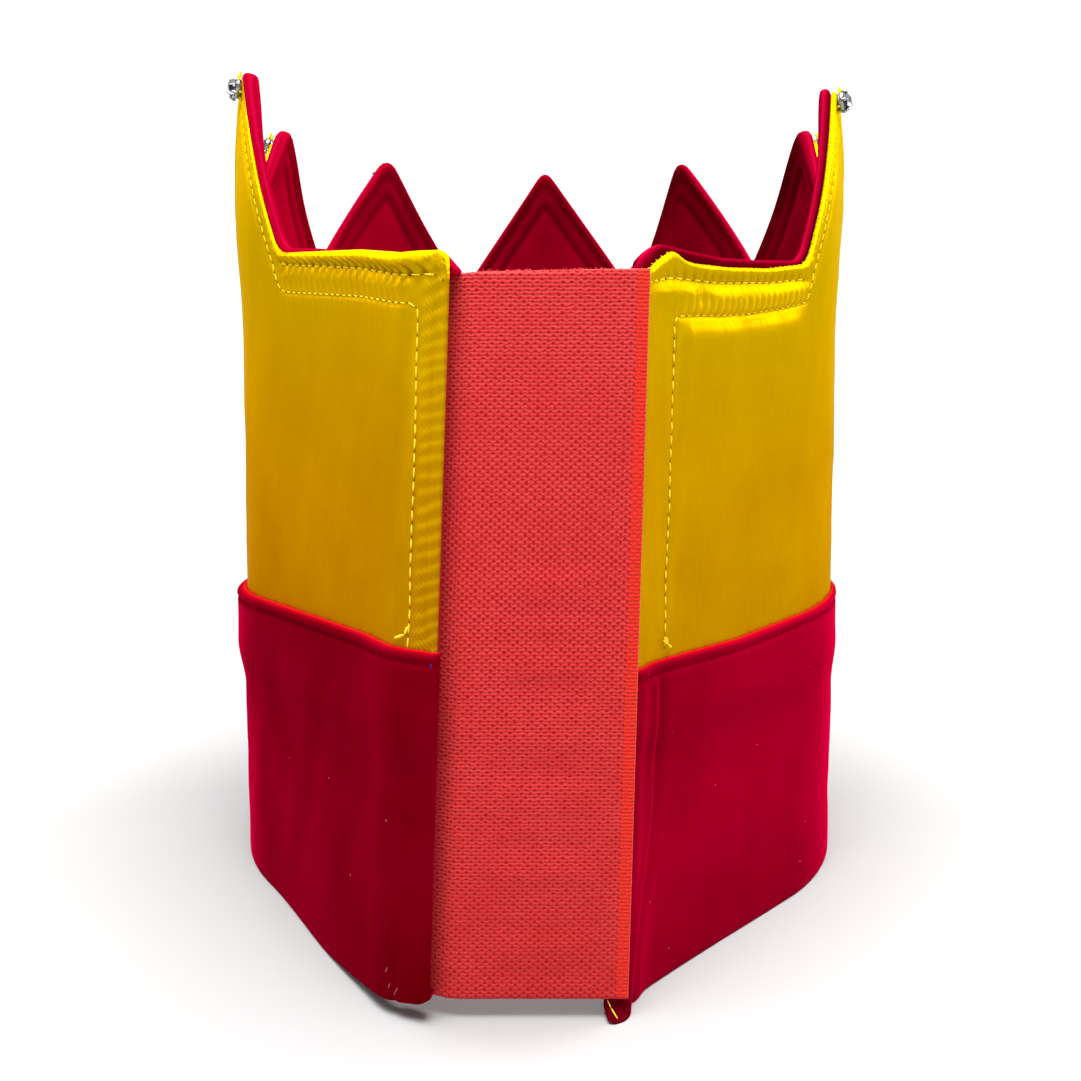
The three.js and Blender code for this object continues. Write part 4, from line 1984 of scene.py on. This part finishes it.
@dataclass
class SatinStitches(Stitching):
    """The yellow rows on the satin and the small hand stitches along its edge."""

    lift: float = 0.08
    tilt: float = 0.12
    hand_pitch: float = 2.5
    hand_share: float = 0.55
    hand_start: float = 1.0
    hand_low: Place = (0.0, 0.2, -0.75)
    hand_high: Place = (0.4, -1.2, 0.1)
    hand_out: Place = (0.0, 1.2, 0.6)
    # Needle holes: flat dark spots at the stitch ends, painted shadow of the holes.
    hole: float = 0.42
    corner_hole_shadows: Place = (0.7, 158.8, 154.7)

    def build(self, wall: SatinWall, finish: ThreadFinish) -> Piece:
        """Makes all the yellow stitches.

        Args:
            wall: the satin that they are sewn on.
            finish: the thread.

        Returns:
            The stitches.
        """

        def on_satin(station: Array, z: Array) -> Array:
            """Offset of a thread that lies on the satin."""
            return wall.relief(station, z) + self.lift

        places = self._hand_stitches(wall)
        for line, pitch in self._rows(wall):
            places += self.along(line, on_satin, pitch, self.tilt)
        return self.sewn("satin_stitches", places, finish, "satin")

    def build_hole_shadows(self, wall: SatinWall, finish: ThreadFinish) -> Piece:
        """Makes the needle holes between the stitches: dark spots of painted shadow.

        Args:
            wall: the satin that they are in.
            finish: their painted shadow colour.

        Returns:
            The holes.
        """
        places = []
        for line, pitch in self._rows(wall):
            places += self._spots(wall, *line.at(np.arange(0, line.length, pitch)))
        corner = self.plan.from_end(Side.LEFT, self.corner_hole_shadows[0])
        places += self._spots(wall, np.array([corner, corner]), np.array(self.corner_hole_shadows[1:]))
        return self.sewn("needle_hole_shadows", places, finish, "satin")

    def _rows(self, wall: SatinWall) -> list[tuple[WallLine, float]]:
        """The satin's rows, each with the length that one stitch takes."""
        rows, pitch = wall.pattern, wall.upper_pitch
        return [(rows.main_row, self.pitch), (rows.left_upper, pitch), (rows.right_upper, pitch)]

    def _spots(self, wall: SatinWall, station: Array, z: Array) -> list[Matrix]:
        """Places of small flat spots on the satin.

        Args:
            wall: the satin.
            station: stations of the spots.
            z: their heights.

        Returns:
            One place for each spot.
        """
        half = self.hole / 2
        face = wall.relief(station, z)
        first = self.plan.place(station, face, z - half)
        last = self.plan.place(station, face, z + half)
        out = self.plan.place(station, face + 1, z)
        return self.between(first, last, out)

    def _hand_stitches(self, wall: SatinWall) -> list[Matrix]:
        """Places of the small stitches that close the satin's edge to the lining.

        Args:
            wall: the satin.

        Returns:
            One place for each stitch.
        """
        edge = wall.pattern.edge
        station, z = edge.at(np.arange(self.hand_start, edge.length, self.hand_pitch))
        ends = []
        for along, out, up in (self.hand_low, self.hand_high, self.hand_out):
            ends.append(self.plan.place(station + along, np.full(len(station), out), z + up))
        return self.between(*ends, self.hand_share)


@dataclass
class BandStitches(Stitching):
    """The red row under the band's rolled edge."""

    ends: Span = (1.0, 11.0)
    points: int = 240

    def build(self, band: VelvetBand, finish: ThreadFinish) -> Piece:
        """Makes all the red stitches.

        Args:
            band: the band that they are sewn on.
            finish: the thread.

        Returns:
            The stitches.
        """
        left, right = self.ends
        stations = np.linspace(self.plan.left + left, self.plan.right - right, self.points)
        edge, _ = band.top(stations)
        places = self.along(WallLine(stations, edge - band.row.middle), band.face, self.pitch)
        return self.sewn("cuff_stitches", places, finish, "band_velvet")


@dataclass
class Jewel:
    """A cut stone in a plated cup, sewn on below a tip."""

    plan: CrownPlan
    sides: int = 10
    below_tip: float = 3.4
    seat: float = 0.3
    cup_radius: Span = (2.4, 2.95)
    cup_height: float = 1.6
    girdle: float = 2.75
    table: float = 1.45
    crown_height: float = 1.75
    facet: float = 0.55
    rise: float = 0.3
    claws: int = 5
    claw_size: Place = (0.42, 0.42, 1.05)
    claw_lean: float = -0.45
    claw_inset: float = 0.2
    claw_rise: float = 0.35
    claw_sides: tuple[int, int] = (8, 6)
    probe: float = 0.5

    def frame_at(self, angle: float, top: float) -> Matrix:
        """Place of a stone: its X runs along the wall and its Z points outwards.

        Args:
            angle: the tip's angle from the front, in degrees.
            top: the tip's height.

        Returns:
            The place, which also turns millimetres into metres.
        """
        height = top - self.below_tip
        station = self.plan.station_of(angle)
        spots = self.plan.place(
            np.array([station, station + self.probe, station]),
            np.array([self.seat, self.seat, self.seat]),
            np.array([height, height, height + 1]),
        )
        seat, beside, above = (Vector(spot) for spot in spots)
        along = (beside - seat).normalized()
        up = (above - seat).normalized()
        outward = along.cross(up).normalized()
        if outward.dot(Vector((seat.x, seat.y, 0.0))) < 0:
            outward.negate()
        up = outward.cross(along)
        turn = Matrix((along, up, outward)).transposed().to_4x4()
        return Matrix.Translation(seat) @ turn @ Matrix.Scale(MM, 4)

    def build_stone(self, number: int, at: Matrix, finish: StoneFinish) -> Piece:
        """Makes one stone with its table and facets.

        Args:
            number: which stone.
            at: its place.
            finish: its look.

        Returns:
            The stone.
        """
        middle = self.cup_height + self.rise + self.crown_height / 2
        bm = bmesh.new()
        bmesh.ops.create_cone(
            bm,
            cap_ends=True,
            segments=self.sides,
            radius1=self.girdle,
            radius2=self.table,
            depth=self.crown_height,
            matrix=Matrix.Translation((0, 0, middle)),
        )
        crest = [v for v in bm.verts if v.co.z > middle]
        bmesh.ops.bevel(
            bm,
            geom=crest,
            offset=self.facet,
            affect="VERTICES",
            segments=1,
            profile=0.5,
            material=-1,
        )
        bmesh.ops.recalc_face_normals(bm, faces=bm.faces)
        bm.transform(at)
        piece = finished_piece(bm, f"stone_{number}", smooth=False)
        dress(piece, finish.material())
        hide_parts(f"jewel_{number}")
        return piece

    def build_cup(self, number: int, at: Matrix, finish: MetalFinish) -> Piece:
        """Makes the cup and its claws.

        Args:
            number: which stone the cup holds.
            at: the stone's place.
            finish: the cup's metal.

        Returns:
            The cup.
        """
        bm = bmesh.new()
        low, high = self.cup_radius
        bmesh.ops.create_cone(
            bm,
            cap_ends=True,
            segments=self.sides * 2,
            radius1=low,
            radius2=high,
            depth=self.cup_height,
            matrix=Matrix.Translation((0, 0, self.cup_height / 2)),
        )
        for claw in range(self.claws):
            turn = Matrix.Rotation(math.tau * claw / self.claws, 4, "Z")
            lean = Matrix.Rotation(self.claw_lean, 4, "Y")
            size = Matrix.Diagonal((*self.claw_size, 1.0))
            stand = Matrix.Translation((high - self.claw_inset, 0, self.cup_height + self.claw_rise))
            bmesh.ops.create_uvsphere(
                bm,
                u_segments=self.claw_sides[0],
                v_segments=self.claw_sides[1],
                radius=1.0,
                matrix=turn @ stand @ lean @ size,
            )
        bm.transform(at)
        return dress(finished_piece(bm, f"stone_cup_{number}"), finish.material())


@dataclass
class Lashings(Stitching):
    """Yellow threads that sew each stone to its tip."""

    width: float = 0.4
    height: float = 0.4
    start: Span = (1.6, 1.5)
    foot: float = -0.1
    turns: tuple[Place, ...] = (
        (-60, 3.5, 1.0), (-78, 4.4, 1.9), (-100, 4.7, 2.2), (-122, 3.7, 1.2), (35, 3.0, 1.3),
        (78, 2.7, 1.5), (105, 2.7, 1.4), (150, 3.0, 1.3),
    )

    def build(self, stones: Sequence[Matrix], finish: ThreadFinish) -> Piece:
        """Makes the threads of all the stones.

        Args:
            stones: the stones' places.
            finish: the thread.

        Returns:
            The threads.
        """
        places = []
        out, up = self.start
        for at in stones:
            outward = at.to_3x3() @ Vector((0, 0, 1))
            for degrees, reach, share in self.turns:
                turn = math.radians(degrees)
                aim = Vector((math.cos(turn), math.sin(turn), 0))
                start = at @ (aim * out + Vector((0, 0, up)))
                end = at @ (aim * reach + Vector((0, 0, self.foot)))
                places.append(self.stitch(start, end, outward, share))
        return self.sewn("stone_lashings", places, finish, "satin")


@dataclass
class Trim(Stitching):
    """Loose thread ends, fibres, pen marks and lint."""

    width: float = 0.4
    height: float = 0.4
    fibre_share: float = 0.3
    seed: int = 7
    tape_fibres: int = 110
    tape_ends: Span = (1.0, 8.0)
    tape_root: Span = (0.6, 0.3)
    tape_lean: float = 0.7
    tape_length: float = 0.5
    rim_fibres: int = 420
    rim_end: float = 8.0
    rim_root: Span = (0.6, 0.3)
    rim_out: float = 0.25
    rim_lean: float = 0.4
    rim_length: Span = (0.3, 0.8)
    lint_count: int = 12
    lint_share: float = 0.36
    lint_lift: float = 0.12
    lint_left: Span = (4.0, 80.0)
    lint_right: Span = (85.0, 14.0)
    lint_heights: Span = (6.0, 72.0)
    lint_length: Span = (0.25, 0.6)
    hairs: tuple[tuple[float, float, float, float], ...] = (
        (7.6, 4.6, 6.4, 6.9),
        (8.8, 6.0, 8.4, 7.3),
        (9.8, 9.2, 9.3, 10.4),
    )
    left_knot: tuple[Place, ...] = ((0, 0.3, 84), (0.5, 0.5, 82.3), (3.4, 0.6, 81.2))
    right_knot: tuple[Place, ...] = ((0, 0.3, 79), (-0.5, 0.6, 77.2), (-2.2, 0.5, 76.2))
    right_tail: tuple[Place, ...] = ((-0.5, 0.6, 77.2), (1.4, 0.5, 78.4))
    tab_end: tuple[Place, ...] = ((-0.6, 1.6, 3.6), (-1.3, 3.0, 2.6), (-2.4, 5.0, 1.2))
    knot_shares: tuple[float, ...] = (1.5, 1.2, 1.0, 0.7)
    pen_marks: tuple[Place, ...] = ((0.2, 77.3, 1.6), (0.1, 72.6, 1.3), (0.0, 61.6, 1.2))
    pen_out: float = 0.9
    pen_slant: float = 0.3
    pen_share: float = 1.8

    def __post_init__(self) -> None:
        """Starts the fixed run of random numbers."""
        self.chance = np.random.default_rng(self.seed)

    def line(self, points: Sequence[Place], share: float = 1.0) -> list[Matrix]:
        """Places of thread lengths through points.

        Args:
            points: station, offset and height of each point.
            share: share of the full thickness.

        Returns:
            One place for each length.
        """
        stations, offsets, heights = np.array(points, dtype=float).T
        spots = self.plan.place(stations, offsets, heights)
        beyond = self.plan.place(stations, offsets + 1, heights)
        return self.between(spots[:-1], spots[1:], beyond, share)

    def build_ends(self, pattern: Pattern, finish: ThreadFinish) -> Piece:
        """Makes the knots where the two upright rows end, and the loose end on the hem's tab.

        Args:
            pattern: the satin's pattern.
            finish: the thread.

        Returns:
            The thread ends.
        """
        left = self.plan.from_end(Side.LEFT, pattern.left_row)
        right = self.plan.from_end(Side.RIGHT, pattern.right_row)
        knots = (self.left_knot, self.right_knot, self.right_tail, self.tab_end)
        places = []
        for knot, station, share in zip(knots, (left, right, right, self.plan.right), self.knot_shares):
            places += self.line([(station + along, out, height) for along, out, height in knot], share)
        return self.sewn("thread_ends", places, finish, "satin")

    def build_marks(self, finish: ThreadFinish) -> Piece:
        """Makes the pen marks on the band's left end.

        Args:
            finish: the ink.

        Returns:
            The marks.
        """
        places = []
        for inward, height, length in self.pen_marks:
            start = self.plan.from_end(Side.LEFT, inward)
            end = (start + self.pen_slant, self.pen_out, height - length)
            places += self.line([(start, self.pen_out, height), end], self.pen_share)
        return self.sewn("pen_marks", places, finish, "band_velvet")

    def build_lint(self, band: VelvetBand, finish: ThreadFinish) -> Piece:
        """Makes the specks and hairs of lint on the band.

        Args:
            band: the band that they lie on.
            finish: the lint's look.

        Returns:
            The lint.
        """
        left, right = self.plan.left, self.plan.right
        spans = (
            (left + self.lint_left[0], left + self.lint_left[1]),
            (right - self.lint_right[0], right - self.lint_right[1]),
        )
        strands = [(left + near, low, left + far, high) for near, low, far, high in self.hairs]
        for _ in range(self.lint_count):
            near = self.chance.uniform(*spans[self.chance.integers(2)])
            low = self.chance.uniform(*self.lint_heights)
            turn = self.chance.uniform(0, math.pi)
            length = self.chance.uniform(*self.lint_length)
            strands.append((near, low, near + length * math.cos(turn), low + length * math.sin(turn)))
        places = []
        for near, low, far, high in strands:
            faces = band.face(np.array([near, far]), np.array([low, high])) + self.lint_lift
            places += self.line([(near, faces[0], low), (far, faces[1], high)], self.lint_share)
        return self.sewn("lint", places, finish, "band_velvet")

    def build_rim_fibres(self, band: VelvetBand, finish: ThreadFinish) -> Piece:
        """Makes the short fibres that stand along the band's top edge.

        Args:
            band: the band that they stand on.
            finish: the fibres' look.

        Returns:
            The fibres.
        """
        places = []
        stations = self.chance.uniform(self.plan.left, self.plan.right - self.rim_end, self.rim_fibres)
        edges, _ = band.top(stations)
        out, drop = self.rim_root
        for station, edge in zip(stations, edges):
            lean = self.chance.uniform(-self.rim_lean, self.rim_lean)
            length = self.chance.uniform(*self.rim_length)
            tip = (station + lean, self.rim_out, edge + length)
            places += self.line([(station, out, edge - drop), tip], self.fibre_share)
        return self.sewn("rim_fibres", places, finish, "band_velvet")

    def build_tape_fibres(self, tape: HookTape, finish: ThreadFinish) -> Piece:
        """Makes the frayed fibres along the tape's cut top.

        Args:
            tape: the tape.
            finish: the fibres' look.

        Returns:
            The fibres.
        """
        places = []
        first, last = self.tape_ends
        inward, drop = self.tape_root
        away = Vector((0, -1, 0))
        for run in self.chance.uniform(first, tape.runs[-1] - last, self.tape_fibres):
            x, y, top = (tape.on_path(values, run) for values in (tape.xs, tape.ys, tape.tops))
            lean, out = self.chance.uniform(-self.tape_lean, self.tape_lean, 2)
            length = self.chance.uniform(0.0, self.tape_length)
            root = np.array([x, y + inward, top - drop])
            tip = root + np.array([lean, out, drop + length])
            spots = self.plan.settle(*np.stack([root, tip], axis=1))
            places.append(self.stitch(Vector(spots[0]), Vector(spots[1]), away, self.fibre_share))
        return self.sewn("tape_fibres", places, finish, "hook_tape")


@dataclass
class Stage:
    """Floor, lights and camera."""

    camera_at: Place = (-0.00099, -0.33128, 0.1281)
    pitch: float = 4.0
    focal_px: float = 1115.0
    frame_px: float = 1081.0
    principal: Span = (539.0, 491.1)
    sensor: float = 36.0
    nearest: float = 0.01
    floor_half: float = 6.6
    wall_height: float = 7.8
    cove: float = 2.7
    cove_steps: int = 24
    floor_colour: Colour = (0.36, 0.36, 0.36)
    floor_roughness: float = 0.9
    glow_span: Span = (0.3, 1.4)
    glow: float = 1.0
    world_strength: float = 0.35
    centre: Place = (0.0, 0.0, 0.11)
    lights: tuple[tuple[str, float, float, Place], ...] = (
        ("light_left", 6.0, 0.7, (-0.9, 0.55, 0.75)),
        ("light_right", 12.5, 0.7, (1.0, 0.45, 0.78)),
        ("light_top", 42.0, 0.9, (0.0, -0.25, 1.2)),
        ("light_front_left", 1.2, 0.8, (-0.95, -0.75, 0.4)),
        ("light_fill", 0.8, 0.8, (0.3, -1.2, 0.5)),
    )

    def build(self) -> None:
        """Makes the stage."""
        self._floor()
        self._world()
        for name, energy, size, place in self.lights:
            self._light(name, energy, size, place)
        self._camera()

    def _floor(self) -> None:
        """A pale floor that sweeps up behind."""
        bm = bmesh.new()
        bmesh.ops.create_grid(bm, x_segments=1, y_segments=1, size=self.floor_half)
        far = [e for e in bm.edges if all(v.co.y > 0 for v in e.verts)]
        risen = bmesh.ops.extrude_edge_only(bm, edges=far)["geom"]
        tops = [v for v in risen if isinstance(v, bmesh.types.BMVert)]
        bmesh.ops.translate(bm, verts=tops, vec=(0, 0, self.wall_height))
        fold = [e for e in bm.edges if len(e.link_faces) == 2]
        bmesh.ops.bevel(
            bm,
            geom=fold,
            offset=self.cove,
            affect="EDGES",
            segments=self.cove_steps,
            profile=0.5,
            material=-1,
        )
        floor = finished_piece(bm, "floor")
        board = NodeBoard("pale_floor")
        length = board.tree.nodes.new("ShaderNodeVectorMath")
        length.operation = "LENGTH"
        board.feed(length.inputs[0], board.place())
        glow = board.ease(length.outputs["Value"], *self.glow_span)
        board.surface(
            Base_Color=(*self.floor_colour, 1.0),
            Roughness=self.floor_roughness,
            Specular_IOR_Level=0.0,
            Emission_Color=WHITE,
            Emission_Strength=board.times(glow, self.glow),
        )
        floor.data.materials.append(board.material)

    def _world(self) -> None:
        """Even white light from all round."""
        world = bpy.data.worlds.new("studio")
        world.use_nodes = True
        background = world.node_tree.nodes["Background"]
        background.inputs["Color"].default_value = WHITE
        background.inputs["Strength"].default_value = self.world_strength
        bpy.context.scene.world = world
        bpy.context.scene.view_settings.view_transform = "Standard"

    def _light(self, name: str, energy: float, size: float, place: Place) -> None:
        """One soft square light that faces the crown.

        Args:
            name: the light's name.
            energy: its power in watts.
            size: its side in metres.
            place: where it stands.
        """
        lamp = bpy.data.lights.new(name, "AREA")
        lamp.energy = energy
        lamp.size = size
        light = bpy.data.objects.new(name, lamp)
        light.location = place
        aim = Vector(self.centre) - Vector(place)
        light.rotation_euler = aim.to_track_quat("-Z", "Y").to_euler()
        bpy.context.scene.collection.objects.link(light)

    def _camera(self) -> None:
        """The camera at the photograph's place."""
        data = bpy.data.cameras.new("camera")
        data.sensor_width = self.sensor
        data.lens = self.focal_px / self.frame_px * self.sensor
        data.shift_x = (self.frame_px / 2 - self.principal[0]) / self.frame_px
        data.shift_y = (self.principal[1] - self.frame_px / 2) / self.frame_px
        data.clip_start = self.nearest
        camera = bpy.data.objects.new("camera", data)
        camera.location = self.camera_at
        camera.rotation_euler = (math.radians(90 - self.pitch), 0, 0)
        bpy.context.scene.collection.objects.link(camera)
        bpy.context.scene.camera = camera


def write_sizes() -> None:
    """Updates the view layer.
    """
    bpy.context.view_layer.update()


def main() -> None:
    """Builds the stage and every piece of the crown."""
    logging.basicConfig(level=logging.INFO, format="%(message)s")
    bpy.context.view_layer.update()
    Stage().build()
    plan = CrownPlan()
    pattern = Pattern(plan)
    satin = SatinWall(Pattern(plan, SATIN_TIPS, SATIN_NOTCHES, right_top=SATIN_RIGHT_TOP))
    band = VelvetBand(plan)
    yellow = ThreadFinish("yellow_thread", (0.86, 0.56, 0.0), (1.0, 0.84, 0.06))
    red = ThreadFinish("red_thread", (0.1, 0.0, 0.003), (0.2, 0.0, 0.01))
    lining_velvet = VelvetFinish(
        "lining_velvet_pile",
        dark=(0.07, 0.0, 0.002),
        light=(0.3, 0.0, 0.012),
        rim=(0.19, 0.0, 0.011),
        line=(0.29, 0.001, 0.02),
        sheen=0.35,
        nap_sheen_span=(230, -230),
        lit_share=0.75,
        lit_span=(-150, -75),
    )
    band_velvet = VelvetFinish(
        "band_velvet_pile",
        dark=(0.115, 0.0, 0.002),
        light=(0.275, 0.0, 0.013),
        rim=(0.33, 0.001, 0.008),
        line=(0.52, 0.014, 0.004),
        rim_light_depth=0.9,
        nap_sheen_span=(-200, 230),
        lit_share=0.35,
        lit_span=(plan.left + 8, plan.left + 34),
        shade=0.42,
        shade_span=(plan.right - 55, plan.right - 16),
        hem_shade=0.3,
        toe_shade=0.75,
        toe_span=(plan.right - 8, plan.right - 4),
    )
    # Painted shadow of the needle holes at the stitch ends.
    hole_shadow = ThreadFinish("needle_hole_shade", (0.14, 0.06, 0.0), (0.28, 0.12, 0.0))
    coral = ThreadFinish("coral_fibre", (0.6, 0.03, 0.035), (0.95, 0.16, 0.16))
    scarlet = ThreadFinish("scarlet_fibre", (0.45, 0.0, 0.008), (0.85, 0.03, 0.01))
    blue = ThreadFinish("pen_blue", (0.01, 0.01, 0.09), (0.03, 0.03, 0.2))
    pale = ThreadFinish("pale_lint", (0.34, 0.09, 0.12), (0.6, 0.28, 0.31))
    tape = HookTape(plan)
    rows = SatinStitches(plan)
    trim = Trim(plan)
    pieces = [
        satin.build(SatinFinish(plan.left)),
        VelvetLining(pattern).build(lining_velvet),
        band.build(band_velvet),
        tape.build(TapeFinish()),
        rows.build(satin, yellow),
        rows.build_hole_shadows(satin, hole_shadow),
        BandStitches(plan).build(band, red),
        trim.build_ends(satin.pattern, yellow),
        trim.build_marks(blue),
        trim.build_lint(band, pale),
        trim.build_rim_fibres(band, scarlet),
        trim.build_tape_fibres(tape, coral),
    ]
    jewel = Jewel(plan)
    places = [jewel.frame_at(angle, top) for angle, top in zip(plan.tip_angles, pattern.tip_tops)]
    for number, at in enumerate(places, start=1):
        pieces.append(jewel.build_stone(number, at, StoneFinish()))
        pieces.append(jewel.build_cup(number, at, MetalFinish()))
    pieces.append(Lashings(plan).build(places, yellow))
    for piece in pieces:
        LOG.info("%s: %d faces", piece.name, len(piece.data.polygons))
    write_sizes()


if __name__ == "__main__":
    main()
